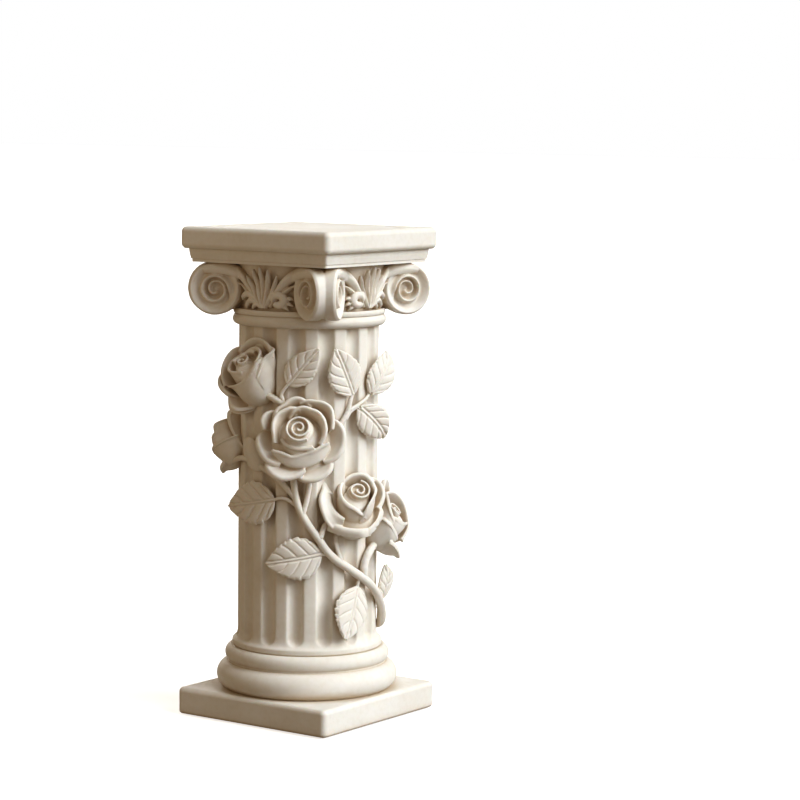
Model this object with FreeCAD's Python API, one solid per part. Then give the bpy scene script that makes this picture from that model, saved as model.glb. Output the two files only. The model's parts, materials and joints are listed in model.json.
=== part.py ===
import FreeCAD, Part
import math
import os

# Decorative column stand: square plinth, moulded round base, fluted shaft,
# four-cornered scroll capital, stepped square top, and a climbing rose vine
# applied to the shaft.  Millimetres, +Z up, origin on the floor under the axis.
# Azimuth A is measured from -Y towards +X, so A = 0 is the middle of the front.

V = FreeCAD.Vector

# ---------------------------------------------------------------- dimensions
# Heights are over a datum 5 mm above the floor; everything is lifted by that much when it is written out.
FLOOR = -5.0
HEIGHT = 613.0            # top face, so the stand is 618 tall
PLINTH_SIDE = 234.0
PLINTH_BOTTOM = FLOOR + 1.5   # the foot pads stand this much proud
PLINTH_TOP = 30.5
PLINTH_CORNER_R = 7.0
PLINTH_EDGE_R = 6.0
PLINTH_FOOT_R = 4.0

PAD_R = 14.0
PAD_THICK = 3.0
PAD_OFFSET = 88.0

TORUS_LOW_R = 114.5       # widest radius of the big lower torus
TORUS_LOW_TOP = 63.5
TORUS_UP_R = 104.0        # widest radius of the upper torus
TORUS_UP_TOP = 84.0
BASE_BORE_R = 70.0

SHAFT_R = 88.2
SHAFT_FOOT_R = 95.0       # fillet band at the foot of the shaft
SHAFT_FOOT_TOP = 92.0
SHAFT_FLARE_TOP = 104.0
SHAFT_TOP = 491.0
SHAFT_BORE_R = 69.0
FLUTES = 15
FLUTE_FIRST_A = 3.6       # azimuth of the first flute
FLUTE_R = 10.4            # radius of the flute section
FLUTE_DEPTH = 7.5
FLUTE_END_Z = 94.5        # lowest point of the rounded flute ends

NECK_R = 96.4             # astragal under the capital
NECK_TOP = 505.5
BELL_LEDGE_R = 94.5       # thin band above the astragal
BELL_LEDGE_TOP = 512.0
BELL_LOW_R = 88.0
BELL_HIGH_R = 95.0
BELL_TOP = 569.0

VOLUTE_R = 32.5
VOLUTE_C = 71.0           # scroll centre from the middle of each face
VOLUTE_FACE = 102.5       # scroll centre from the axis
VOLUTE_LEAN = 26.0        # the scroll faces turn this much towards the middle of each face
VOLUTE_Z = 536.1
VOLUTE_THICK = 21.0
VOLUTE_EYE_R = 6.0
VOLUTE_COIL_R = 16.0

ABACUS_TOP = 585.5
ABACUS_SIDE_TOP = 216.5
ABACUS_SIDE_LOW = 210.5
SLAB_SIDE = 231.5
SLAB_CORNER_R = 7.0
SLAB_EDGE_R = 6.5

ROD_R = 6.0
ROD_CLEAR = 0.5
COUNTERBORE_R = 18.0
COUNTERBORE_TOP = 11.5
WASHER_R = 16.0
WASHER_THICK = 2.5
NUT_FLATS = 18.0
NUT_THICK = 10.0
DISC_THICK = 20.0
DISC_CLEAR = 0.25
PLATE_SIDE = 70.0
PLATE_THICK = 5.0
SCREW_R = 2.5
SCREW_HEAD_R = 4.6
SCREW_LONG = 11.0
DOWEL_R = 4.0
DOWEL_RING_R = 88.0
DOWEL_LOW = 16.0
DOWEL_HIGH = 43.0

GLUE = 0.3                # bond line between the shaft and what is applied to it
PIN_R = 2.5
PIN_IN = 76.0             # the rose pins run from this radius in the shaft wall
PIN_OUT = 97.0            # to this radius inside the rose

# name: (A, z, radial distance of the base, facing A, upward tilt, radius, height)
ROSES = {
    "rose_large": (31.5, 351.0, 82.0, 31.5, 30.0, 48.4, 37.0),
    "rose_upper": (-11.0, 399.0, 70.0, -6.0, 56.0, 36.0, 55.0),
    "rose_left": (-44.0, 325.0, 78.0, -68.0, 33.0, 31.0, 48.0),
    "rose_lower": (82.0, 250.0, 74.0, 50.0, 45.0, 36.5, 45.0),
    "rose_right": (112.0, 217.0, 80.0, 113.0, 48.0, 31.0, 48.0),
}

# name: (base A, base z, tip A, tip z, widest width, lift at the tip, rise of one edge; its sign says which)
LEAVES = {
    "leaf_top_left": (21.5, 421.5, 44.5, 468.0, 33.0, 9.0, 0.0),
    "leaf_top_mid": (73.5, 409.0, 56.0, 467.0, 49.0, 10.0, 4.0),
    "leaf_top_right": (93.0, 408.5, 111.0, 458.5, 36.0, 9.0, -17.0),
    "leaf_mid_right": (80.0, 393.0, 106.0, 352.0, 41.0, 9.0, 15.0),
    "leaf_mid_left": (10.5, 278.5, -33.5, 264.0, 58.0, 15.0, 0.0),
    "leaf_low_left": (48.0, 212.0, 5.5, 199.0, 57.0, 8.0, 0.0),
    "leaf_low_mid": (80.0, 167.5, 66.0, 104.5, 55.0, 9.0, -5.0),
    "leaf_low_right": (121.0, 141.0, 117.0, 187.0, 30.0, 8.0, -14.0),
}
# stalk of each leaf: points as (A, z), from the stem it grows on to the leaf
STALKS = {
    "leaf_top_left": [(17.0, 402.5), (16.0, 411.0), (20.8, 421.5), (25.0, 429.5)],
    "leaf_top_mid": [(71.4, 402.0), (73.2, 408.5), (72.0, 415.0)],
    "leaf_top_right": [(72.0, 391.0), (81.0, 397.0), (90.0, 404.5), (96.0, 415.0)],
    "leaf_mid_right": [(67.5, 380.0), (72.0, 388.5), (79.0, 393.0), (85.0, 386.0)],
    "leaf_mid_left": [(26.5, 275.0), (21.0, 280.0), (15.0, 281.0), (10.0, 278.5), (4.0, 276.5)],
    "leaf_low_left": [(55.0, 210.0), (51.0, 212.0), (47.0, 212.0), (41.0, 210.0)],
    "leaf_low_mid": [(82.5, 179.0), (81.0, 173.0), (80.0, 167.5), (78.7, 161.0)],
    "leaf_low_right": [(119.0, 132.0), (121.0, 137.0), (121.0, 142.0), (120.7, 149.0)],
}
STALK_R = 2.2
LEAF_THICK = 4.0
LEAF_TURN = 1.539         # millimetres of shaft surface per degree

# name: (radius, points as (A, z, extra lift))
STEMS = {
    "vine_main": (5.6, [(168, 99.0, 1.0), (150, 102, 2.0), (133, 112, 2.5), (118, 135, 2.5), (97, 165, 2.0),
                        (73, 190, 1.5), (56, 209.5, 1.5), (44.6, 234, 1.0), (35, 256, 0.5),
                        (29, 277, 0.5), (26.5, 300, 0.5), (26.0, 322, 0.5)]),
    "stem_left_rose": (3.6, [(27.5, 283, 2.0), (15, 302.5, 1.0), (2.5, 315, 1.0), (-12, 324, 1.5),
                             (-28, 325, 3.0), (-45, 314, 9.0)]),
    "stem_large_rose": (3.2, [(33.5, 262, 3.0), (36.5, 280, 1.5), (38.5, 300, 1.0), (39.0, 324, 1.0)]),
    "stem_lower_rose": (3.4, [(47.0, 234, 3.5), (50.5, 247, 2.0), (56.5, 254, 1.5), (62, 258, 1.5)]),
    "stem_lower_spur": (2.8, [(63.0, 206, 4.0), (60.5, 220, 2.0), (59.5, 236, 1.0), (62.5, 247, 1.0)]),
    "stem_right_rose": (5.0, [(85.0, 181, 5.0), (87.5, 200, 2.5), (96, 213, 2.0), (105, 220, 2.0)]),
    "stem_upper_right": (3.2, [(56, 366, 1.0), (63, 374, 1.0), (69, 388, 1.0), (71.5, 402, 1.0)]),
    "stem_upper_left": (4.2, [(27, 383, 1.0), (20, 393, 1.0), (10, 401, 1.0), (0, 408, 0.5)]),
}


def ring(points):
    """Solid of revolution about Z from an (r, z) outline."""
    wire = Part.makePolygon([V(r, 0, z) for r, z in points + points[:1]])
    return Part.Face(wire).revolve(V(0, 0, 0), V(0, 0, 1), 360)


def ring_curved(pieces):
    """Solid of revolution from a list of (r, z) runs; a run of three points is an arc."""
    edges = []
    for run in pieces:
        pts = [V(r, 0, z) for r, z in run]
        if len(pts) == 3:
            edges.append(Part.Arc(*pts).toShape())
        else:
            edges.append(Part.makeLine(pts[0], pts[1]))
    return Part.Face(Part.Wire(edges)).revolve(V(0, 0, 0), V(0, 0, 1), 360)


def square(side, z0, z1):
    return Part.makeBox(side, side, z1 - z0, V(-side / 2, -side / 2, z0))


def vertical_edges(shape):
    found = []
    for e in shape.Edges:
        d = e.Vertexes[-1].Point.sub(e.Vertexes[0].Point)
        if abs(d.x) + abs(d.y) < 1e-6 and abs(d.z) > 1.0:
            found.append(e)
    return found


def edges_at(shape, z):
    return [e for e in shape.Edges if abs(e.BoundBox.ZMin - z) < 1e-4 and abs(e.BoundBox.ZMax - z) < 1e-4]


def cyl(r, z0, z1, x=0.0, y=0.0):
    return Part.makeCylinder(r, z1 - z0, V(x, y, z0))


def at(a, r, z):
    t = math.radians(a)
    return V(r * math.sin(t), -r * math.cos(t), z)


def turned(shape, degrees):
    c = shape.copy()
    c.rotate(V(0, 0, 0), V(0, 0, 1), degrees)
    return c


def one(shape):
    """The largest solid of a result, cleaned."""
    solids = sorted(shape.Solids, key=lambda s: s.Volume)
    return solids[-1]


nodes = {}

# ------------------------------------------------------------- feet and plinth
pad_at = [(sx * PAD_OFFSET, sy * PAD_OFFSET) for sx in (-1, 1) for sy in (-1, 1)]
nodes["foot_pads"] = Part.makeCompound([cyl(PAD_R, FLOOR, FLOOR + PAD_THICK, x, y) for x, y in pad_at])

plinth = square(PLINTH_SIDE, PLINTH_BOTTOM, PLINTH_TOP)
plinth = plinth.makeFillet(PLINTH_CORNER_R, vertical_edges(plinth))
plinth = plinth.makeFillet(PLINTH_EDGE_R, edges_at(plinth, PLINTH_TOP))
plinth = plinth.makeFillet(PLINTH_FOOT_R, edges_at(plinth, PLINTH_BOTTOM))
for x, y in pad_at:
    plinth = plinth.cut(cyl(PAD_R, PLINTH_BOTTOM - 1, FLOOR + PAD_THICK, x, y))
plinth = plinth.cut(cyl(COUNTERBORE_R, PLINTH_BOTTOM - 1, COUNTERBORE_TOP))
plinth = plinth.cut(cyl(ROD_R + ROD_CLEAR, FLOOR, PLINTH_TOP + 1))
dowel_at = [(DOWEL_RING_R * math.cos(math.radians(k)), DOWEL_RING_R * math.sin(math.radians(k))) for k in (0, 90, 180, 270)]
dowels = Part.makeCompound([cyl(DOWEL_R, DOWEL_LOW, DOWEL_HIGH, x, y) for x, y in dowel_at])
plinth = plinth.cut(dowels)
nodes["plinth"] = plinth
nodes["base_dowels"] = dowels

# --------------------------------------------------------------- moulded base
low_mid = (PLINTH_TOP + TORUS_LOW_TOP) / 2
up_low = TORUS_LOW_TOP + 2.0
up_mid = (up_low + TORUS_UP_TOP) / 2
base = ring_curved([
    [(BASE_BORE_R, PLINTH_TOP), (TORUS_LOW_R - 10.0, PLINTH_TOP)],
    [(TORUS_LOW_R - 10.0, PLINTH_TOP), (TORUS_LOW_R, low_mid - 2.0), (TORUS_LOW_R - 12.5, TORUS_LOW_TOP)],
    [(TORUS_LOW_R - 12.5, TORUS_LOW_TOP), (TORUS_LOW_R - 14.0, TORUS_LOW_TOP)],
    [(TORUS_LOW_R - 14.0, TORUS_LOW_TOP), (TORUS_LOW_R - 14.0, up_low)],
    [(TORUS_LOW_R - 14.0, up_low), (TORUS_UP_R, up_mid), (TORUS_UP_R - 7.0, TORUS_UP_TOP)],
    [(TORUS_UP_R - 7.0, TORUS_UP_TOP), (BASE_BORE_R, TORUS_UP_TOP)],
    [(BASE_BORE_R, TORUS_UP_TOP), (BASE_BORE_R, PLINTH_TOP)],
])
nodes["base_moulding"] = base.cut(dowels)

low_disc = cyl(BASE_BORE_R - 1.0 - DISC_CLEAR, TORUS_UP_TOP - DISC_THICK / 2, TORUS_UP_TOP + DISC_THICK / 2)
nodes["lower_centring_disc"] = low_disc.cut(cyl(ROD_R + ROD_CLEAR, 0, HEIGHT))

# ---------------------------------------------------------------------- shaft
shaft = ring_curved([
    [(SHAFT_BORE_R, TORUS_UP_TOP), (SHAFT_FOOT_R, TORUS_UP_TOP)],
    [(SHAFT_FOOT_R, TORUS_UP_TOP), (SHAFT_FOOT_R, SHAFT_FOOT_TOP)],
    [(SHAFT_FOOT_R, SHAFT_FOOT_TOP), (SHAFT_R + 1.6, SHAFT_FOOT_TOP + 5.5), (SHAFT_R, SHAFT_FLARE_TOP)],
    [(SHAFT_R, SHAFT_FLARE_TOP), (SHAFT_R, SHAFT_TOP)],
    [(SHAFT_R, SHAFT_TOP), (SHAFT_BORE_R, SHAFT_TOP)],
    [(SHAFT_BORE_R, SHAFT_TOP), (SHAFT_BORE_R, TORUS_UP_TOP)],
])
flute_c = SHAFT_R - FLUTE_DEPTH + FLUTE_R
cutters = []
for k in range(FLUTES):
    a = FLUTE_FIRST_A + k * 360.0 / FLUTES
    foot = at(a, flute_c, FLUTE_END_Z + FLUTE_R)
    run = Part.makeCylinder(FLUTE_R, SHAFT_TOP + 5 - foot.z, foot)
    cutters.append(run.fuse(Part.makeSphere(FLUTE_R, foot)))
shaft = shaft.cut(Part.makeCompound(cutters))

# ------------------------------------------------------- neck ring and capital
neck = ring_curved([
    [(SHAFT_BORE_R, SHAFT_TOP), (SHAFT_R + 0.8, SHAFT_TOP)],
    [(SHAFT_R + 0.8, SHAFT_TOP), (NECK_R - 1.2, SHAFT_TOP + 3.4), (NECK_R, SHAFT_TOP + 8.0)],
    [(NECK_R, SHAFT_TOP + 8.0), (NECK_R - 0.8, NECK_TOP - 4.0), (NECK_R - 3.5, NECK_TOP)],
    [(NECK_R - 3.5, NECK_TOP), (SHAFT_BORE_R, NECK_TOP)],
    [(SHAFT_BORE_R, NECK_TOP), (SHAFT_BORE_R, SHAFT_TOP)],
])
nodes["neck_ring"] = neck

high_disc = cyl(SHAFT_BORE_R - DISC_CLEAR, SHAFT_TOP - DISC_THICK / 2, SHAFT_TOP + DISC_THICK / 2)
nodes["upper_centring_disc"] = high_disc.cut(cyl(ROD_R + ROD_CLEAR, 0, HEIGHT))

bell_mid = (BELL_LEDGE_TOP + BELL_TOP) / 2
bell_outside = [
    [(0, NECK_TOP), (BELL_LEDGE_R, NECK_TOP)],
    [(BELL_LEDGE_R, NECK_TOP), (BELL_LEDGE_R + 1.0, (NECK_TOP + BELL_LEDGE_TOP) / 2), (BELL_LEDGE_R, BELL_LEDGE_TOP)],
    [(BELL_LEDGE_R, BELL_LEDGE_TOP), (BELL_LOW_R, BELL_LEDGE_TOP)],
    [(BELL_LOW_R, BELL_LEDGE_TOP), (BELL_LOW_R + 1.5, bell_mid), (BELL_HIGH_R, BELL_TOP)],
    [(BELL_HIGH_R, BELL_TOP), (0, BELL_TOP)],
    [(0, BELL_TOP), (0, NECK_TOP)],
]
bell_solid = ring_curved(bell_outside)
nodes["capital_bell"] = bell_solid.cut(cyl(SHAFT_BORE_R - 9, NECK_TOP - 1, BELL_TOP - 14)).cut(cyl(ROD_R + ROD_CLEAR, 0, HEIGHT))


def corner_scroll():
    """Scroll for the corner at +X -Y: two round faces joined by a rounded band at the corner."""
    c, f, t, z = VOLUTE_C, VOLUTE_FACE, VOLUTE_THICK, VOLUTE_Z
    lean = math.radians(VOLUTE_LEAN)
    discs = []
    for p, axis in ((V(c, -f, z), V(math.sin(lean), math.cos(lean), 0)), (V(f, -c, z), V(-math.cos(lean), -math.sin(lean), 0))):
        disc = Part.makeCylinder(VOLUTE_R, t, p, axis)
        # sunk channel and raised coil with an eye on each face
        groove = Part.makeCylinder(VOLUTE_R - 4.0, 3.5, p, axis).cut(Part.makeCylinder(VOLUTE_COIL_R, 3.5, p, axis))
        inner = Part.makeCylinder(VOLUTE_COIL_R - 4.5, 3.0, p, axis).cut(Part.makeCylinder(VOLUTE_EYE_R, 3.0, p, axis))
        discs.append(disc.cut(groove).cut(inner))
    near = (f - c) / 2 * 0.62
    mid = (f + c) / 2
    band = Part.makeCylinder(VOLUTE_R - 2.0, 2 * near * math.sqrt(2), V(mid - near, -mid - near, z), V(1, 1, 0))
    web = Part.makeBox(42, 42, VOLUTE_R + 22.0, V(48, -90, z - 22.0))
    # the faces stay open: what stands before a disc is taken off the band and the web
    front = []
    for p, out in ((V(c, -f, z), V(-math.sin(lean), -math.cos(lean), 0)), (V(f, -c, z), V(math.cos(lean), math.sin(lean), 0))):
        front.append(Part.makeCylinder(VOLUTE_R + 30.0, 40.0, p, out))
    fill = band.fuse(web)
    for block in front:
        fill = fill.cut(block)
    s = discs[0].fuse([discs[1], fill])
    s = s.cut(bell_solid)
    # only the part towards the corner belongs to this piece
    keep = Part.makeBox(120, 120, 120, V(40, -160, z - 60))
    return one(s.common(keep).removeSplitter())


scroll = corner_scroll()
for k, name in enumerate(("volute_front_right", "volute_back_right", "volute_back_left", "volute_front_left")):
    nodes[name] = turned(scroll, 90 * k)


def fan():
    """Upright leaf fan for the middle of the front face, backed onto the bell."""
    tips = [(-36, 20), (-29, 36), (-19, 47), (-9.5, 53.5), (0, 56), (9.5, 53.5), (19, 47), (29, 36), (36, 20)]
    z0 = BELL_LEDGE_TOP + GLUE
    pts = [V(-24, 0, 0)]
    for i, (x, h) in enumerate(tips):
        pts.append(V(x, 0, h))
        if i < len(tips) - 1:
            nx, nh = tips[i + 1]
            pts.append(V((x + nx) / 2 * 0.84, 0, (h + nh) / 2 * 0.84))
    pts.append(V(24, 0, 0))
    pts = [V(p.x, -104.0, z0 + p.z) for p in pts]
    plate = Part.Face(Part.makePolygon(pts + pts[:1])).extrude(V(0, 24, 0))
    grown = ring_curved([[(r + (GLUE if r > 1 else 0), z) for r, z in run] for run in bell_outside])
    plate = plate.cut(grown)
    for s in (-1, 1):  # curled side leaves
        curl = Part.makeCylinder(9.0, 9.0, V(s * 27.0, -106.0, z0 + 13.0), V(0, 1, 0))
        plate = plate.fuse(curl.cut(grown).cut(Part.makeCylinder(3.0, 6.0, V(s * 27.0, -106.0, z0 + 13.0), V(0, 1, 0))))
    blocks = Part.makeCompound([nodes[n] for n in ("volute_front_right", "volute_front_left")])
    return one(plate.cut(blocks).removeSplitter())


leaf_fan = fan()
for k, name in enumerate(("acanthus_front", "acanthus_right", "acanthus_back", "acanthus_left")):
    nodes[name] = turned(leaf_fan, 90 * k)

# ------------------------------------------------------------------- square top
def square_wire(side, z, r):
    f = Part.makeBox(side, side, 3.0, V(-side / 2, -side / 2, z))
    f = f.makeFillet(r, vertical_edges(f))
    return [w for face in f.Faces for w in face.Wires if abs(face.CenterOfMass.z - z) < 1e-6][0]


abacus = Part.makeLoft([square_wire(ABACUS_SIDE_LOW, BELL_TOP, 3.0), square_wire(ABACUS_SIDE_LOW, BELL_TOP + 4.0, 3.0)], True, True)
cove = Part.makeLoft([square_wire(ABACUS_SIDE_LOW + 2.0, BELL_TOP + 4.0, 3.0), square_wire(ABACUS_SIDE_LOW + 4.5, BELL_TOP + 10.0, 3.0),
                      square_wire(ABACUS_SIDE_TOP, ABACUS_TOP, 3.0)], True, True)
abacus = abacus.fuse(cove).removeSplitter().cut(cyl(ROD_R + ROD_CLEAR, 0, HEIGHT))
nodes["abacus_moulding"] = one(abacus)

slab = square(SLAB_SIDE, ABACUS_TOP, HEIGHT)
slab = slab.makeFillet(SLAB_CORNER_R, vertical_edges(slab))
slab = slab.makeFillet(SLAB_EDGE_R, edges_at(slab, HEIGHT) + edges_at(slab, ABACUS_TOP))
plate = square(PLATE_SIDE, ABACUS_TOP, ABACUS_TOP + PLATE_THICK)
screw_at = [(sx * 26.0, sy * 26.0) for sx in (-1, 1) for sy in (-1, 1)]
screws = []
for x, y in screw_at:
    head = Part.makeCone(SCREW_HEAD_R, SCREW_R, 2.6, V(x, y, ABACUS_TOP))
    screws.append(head.fuse(cyl(SCREW_R, ABACUS_TOP + 2.6, ABACUS_TOP + SCREW_LONG, x, y)).removeSplitter())
screws = Part.makeCompound(screws)
rod_top = ABACUS_TOP + 12.0
slab = slab.cut(plate).cut(screws).cut(cyl(ROD_R + ROD_CLEAR, ABACUS_TOP - 1, rod_top + 2.0))
nodes["top_slab"] = slab
nodes["anchor_plate"] = plate.cut(screws).cut(cyl(ROD_R, 0, HEIGHT))
nodes["anchor_screws"] = screws

# ------------------------------------------------------------ tie rod hardware
washer_z = COUNTERBORE_TOP - WASHER_THICK
nut_z = washer_z - NUT_THICK
nodes["tie_rod"] = cyl(ROD_R, nut_z - 1.0, rod_top)
nodes["tie_washer"] = cyl(WASHER_R, washer_z, COUNTERBORE_TOP).cut(cyl(ROD_R + ROD_CLEAR, FLOOR, 40))
hexagon = [V(NUT_FLATS / math.sqrt(3) * math.cos(math.radians(60 * k)), NUT_FLATS / math.sqrt(3) * math.sin(math.radians(60 * k)), nut_z) for k in range(7)]
nut = Part.Face(Part.makePolygon(hexagon)).extrude(V(0, 0, NUT_THICK))
nodes["tie_nut"] = nut.cut(cyl(ROD_R, FLOOR, 40))

# --------------------------------------------------------------- rose heads
envelope = cyl(SHAFT_R + GLUE, SHAFT_FLARE_TOP - 30, SHAFT_TOP)
rose_outline = [  # (radius, height) as shares: three whorls of petals round a bud
    (0.0, -0.02), (0.34, 0.0), (0.62, 0.10), (0.86, 0.27), (1.0, 0.50), (0.985, 0.545), (0.93, 0.55),
    (0.80, 0.44), (0.70, 0.40), (0.735, 0.60), (0.76, 0.80), (0.73, 0.835), (0.68, 0.82),
    (0.54, 0.62), (0.46, 0.58), (0.455, 0.78), (0.44, 0.95), (0.41, 0.98), (0.37, 0.955),
    (0.27, 0.78), (0.21, 0.77), (0.19, 0.94), (0.14, 1.0), (0.06, 0.985), (0.0, 0.97),
]
pins = []
for name, (a, z, r, face_a, tilt, rr, rh) in ROSES.items():
    rose = ring([(p * rr, q * rh) for p, q in rose_outline])
    ax = at(face_a, math.cos(math.radians(tilt)), math.sin(math.radians(tilt)))
    place = FreeCAD.Placement(at(a, r, z), FreeCAD.Rotation(V(0, 0, 1), ax))
    rose.Placement = place
    pin_dir = at(a, 1.0, 0.0)
    pin = Part.makeCylinder(PIN_R, PIN_OUT - PIN_IN, at(a, PIN_IN, z), pin_dir)
    pins.append(pin)
    rose = rose.cut(envelope)
    for other in ROSES:  # a head gives way to the heads already set beside it
        if other in nodes and rose.BoundBox.intersect(nodes[other].BoundBox):
            rose = rose.cut(nodes[other])
    nodes[name] = one(one(rose).cut(pin))
pins = Part.makeCompound(pins)
nodes["rose_pins"] = pins
shaft = shaft.cut(pins)
nodes["shaft"] = one(shaft)

# names of rose solids, cut out of whatever runs under them
rose_block = [nodes[n] for n in ROSES]

# --------------------------------------------------------------------- stems
stem_solids = {}
for name, (rad, path) in STEMS.items():
    pts = [at(a, SHAFT_R + rad * 0.75 + lift, z) for a, z, lift in path]
    curve = Part.BSplineCurve()
    curve.interpolate(pts)
    spine = Part.Wire([curve.toShape()])
    start = curve.tangent(curve.FirstParameter)[0]
    section = Part.Wire([Part.makeCircle(rad, pts[0], start)])
    tube = spine.makePipeShell([section], True, True)
    if tube.Volume < 0:
        tube.reverse()
    tube = tube.cut(cyl(SHAFT_R + GLUE, SHAFT_FLARE_TOP, SHAFT_TOP))
    if name == "vine_main":
        tube = tube.cut(ring_curved([
            [(0, 60), (SHAFT_FOOT_R + GLUE, 60)],
            [(SHAFT_FOOT_R + GLUE, 60), (SHAFT_FOOT_R + GLUE, SHAFT_FOOT_TOP + GLUE)],
            [(SHAFT_FOOT_R + GLUE, SHAFT_FOOT_TOP + GLUE), (SHAFT_R + 1.6 + GLUE, SHAFT_FOOT_TOP + 5.5 + GLUE), (SHAFT_R + GLUE, SHAFT_FLARE_TOP + GLUE)],
            [(SHAFT_R + GLUE, SHAFT_FLARE_TOP + GLUE), (0, SHAFT_FLARE_TOP + GLUE)],
            [(0, SHAFT_FLARE_TOP + GLUE), (0, 60)],
        ]))
    for other in rose_block:
        if tube.BoundBox.intersect(other.BoundBox):
            tube = tube.cut(other)
    for done in stem_solids.values():
        if tube.BoundBox.intersect(done.BoundBox):
            tube = tube.cut(done)
    stem_solids[name] = one(tube)
    nodes[name] = stem_solids[name]


# --------------------------------------------------------------------- leaves
def leaf_point(base_a, base_z, tip_a, tip_z, width, lift_tip, edge_rise, s, t, up):
    """Point on a leaf: s runs from base to tip, t across it, up is the height over its back."""
    ub, vb = base_a * LEAF_TURN, base_z
    du, dv = (tip_a - base_a) * LEAF_TURN, tip_z - base_z
    long = math.hypot(du, dv)
    eu, ev = du / long, dv / long
    w = width / 2 * (math.sin(math.pi * min(1.0, s ** 0.80)) ** 0.72 * (1.0 - 0.16 * s) + 0.045)
    u = ub + du * s - ev * w * t
    v = vb + dv * s + eu * w * t
    lift = GLUE + 1.0 + 2.6 * s + (lift_tip - 3.6) * s ** 2.2 + 1.4 * (1 - abs(t)) * math.sin(math.pi * s)
    side = math.copysign(1.0, edge_rise)
    lift += abs(edge_rise) * (1 + side * t) / 2 * math.sin(math.pi * min(1.0, 0.08 + 0.84 * s)) ** 0.8
    return at(u / LEAF_TURN, SHAFT_R + lift + up, v)


def leaf_solid(spec):
    ns, nt = 9, 5
    skins = []
    for up in (0.0, LEAF_THICK):
        grid = [[leaf_point(*spec, i / (ns - 1), -1 + 2 * j / (nt - 1), up) for j in range(nt)] for i in range(ns)]
        surf = Part.BSplineSurface()
        surf.interpolate(grid)
        skins.append(surf)
    low, high = skins
    u0, u1, v0, v1 = low.bounds()
    faces = [low.toShape(), high.toShape()]
    for pick in (lambda q: q.uIso(u0), lambda q: q.uIso(u1), lambda q: q.vIso(v0), lambda q: q.vIso(v1)):
        faces.append(Part.makeRuledSurface(pick(low).toShape(), pick(high).toShape()))
    shell = Part.makeShell(faces)
    shell.sewShape()
    solid = Part.Solid(shell)
    if solid.Volume < 0:
        solid.reverse()
    return solid


def stalk_solid(name):
    pts = [at(a, SHAFT_R + GLUE + STALK_R + 0.6, z) for a, z in STALKS[name]]
    curve = Part.BSplineCurve()
    curve.interpolate(pts)
    start = curve.tangent(curve.FirstParameter)[0]
    tube = Part.Wire([curve.toShape()]).makePipeShell([Part.Wire([Part.makeCircle(STALK_R, pts[0], start)])], True, True)
    if tube.Volume < 0:
        tube.reverse()
    return tube


for name, spec in LEAVES.items():
    leaf = leaf_solid(spec).fuse(stalk_solid(name))
    for other in list(rose_block) + list(stem_solids.values()):
        if leaf.BoundBox.intersect(other.BoundBox):
            leaf = leaf.cut(other)
    nodes[name] = one(leaf)

os.makedirs("parts", exist_ok=True)
for name, shape in nodes.items():
    shape = shape.copy()
    shape.translate(V(0, 0, -FLOOR))
    shape.exportStep("parts/" + name + ".step")
    print(name, len(shape.Solids), round(shape.Volume / 1000.0, 1), shape.isValid(), [round(v, 1) for v in
          (shape.BoundBox.XMin, shape.BoundBox.XMax, shape.BoundBox.YMin, shape.BoundBox.YMax, shape.BoundBox.ZMin, shape.BoundBox.ZMax)])
print(len(nodes), "nodes")
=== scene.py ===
import json
import math

import bmesh
import bpy
import numpy as np
from mathutils import Matrix


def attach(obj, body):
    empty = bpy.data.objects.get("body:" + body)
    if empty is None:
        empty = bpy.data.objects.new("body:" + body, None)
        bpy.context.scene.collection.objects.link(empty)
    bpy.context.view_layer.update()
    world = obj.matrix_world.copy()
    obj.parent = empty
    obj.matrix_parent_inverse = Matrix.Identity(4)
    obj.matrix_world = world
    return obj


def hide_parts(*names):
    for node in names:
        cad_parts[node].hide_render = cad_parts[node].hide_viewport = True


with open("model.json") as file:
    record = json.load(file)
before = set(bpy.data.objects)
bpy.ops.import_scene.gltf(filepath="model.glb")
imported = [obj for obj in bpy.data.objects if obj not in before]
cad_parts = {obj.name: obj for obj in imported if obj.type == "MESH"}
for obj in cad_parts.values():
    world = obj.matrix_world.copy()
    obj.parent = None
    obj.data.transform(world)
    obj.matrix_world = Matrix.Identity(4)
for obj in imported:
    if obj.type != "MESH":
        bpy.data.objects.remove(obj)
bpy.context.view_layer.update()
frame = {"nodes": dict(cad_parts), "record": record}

MM = 0.001
NODES = frame["nodes"]
scene = bpy.context.scene

# ------------------------------------------------------------------ dimensions (mm)
LIFT = 5.0                # heights below are over a datum this far above the floor
H = 613.0
SHAFT_R = 88.2
SHAFT_FOOT_R = 95.0
SHAFT_FOOT_Z = 84.0
SHAFT_FOOT_TOP = 92.0
SHAFT_FLARE_TOP = 104.0
SHAFT_TOP = 491.0
SHAFT_BORE_R = 69.0
FLUTES = 15
FLUTE_FIRST_A = 3.6
FLUTE_R = 10.4
FLUTE_DEPTH = 7.5
FLUTE_END_Z = 94.5
BELL_TOP = 569.0
BELL_LEDGE_TOP = 512.0
VOLUTE_Z = 536.1
TURN = 1.539              # mm of shaft surface per degree

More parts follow.
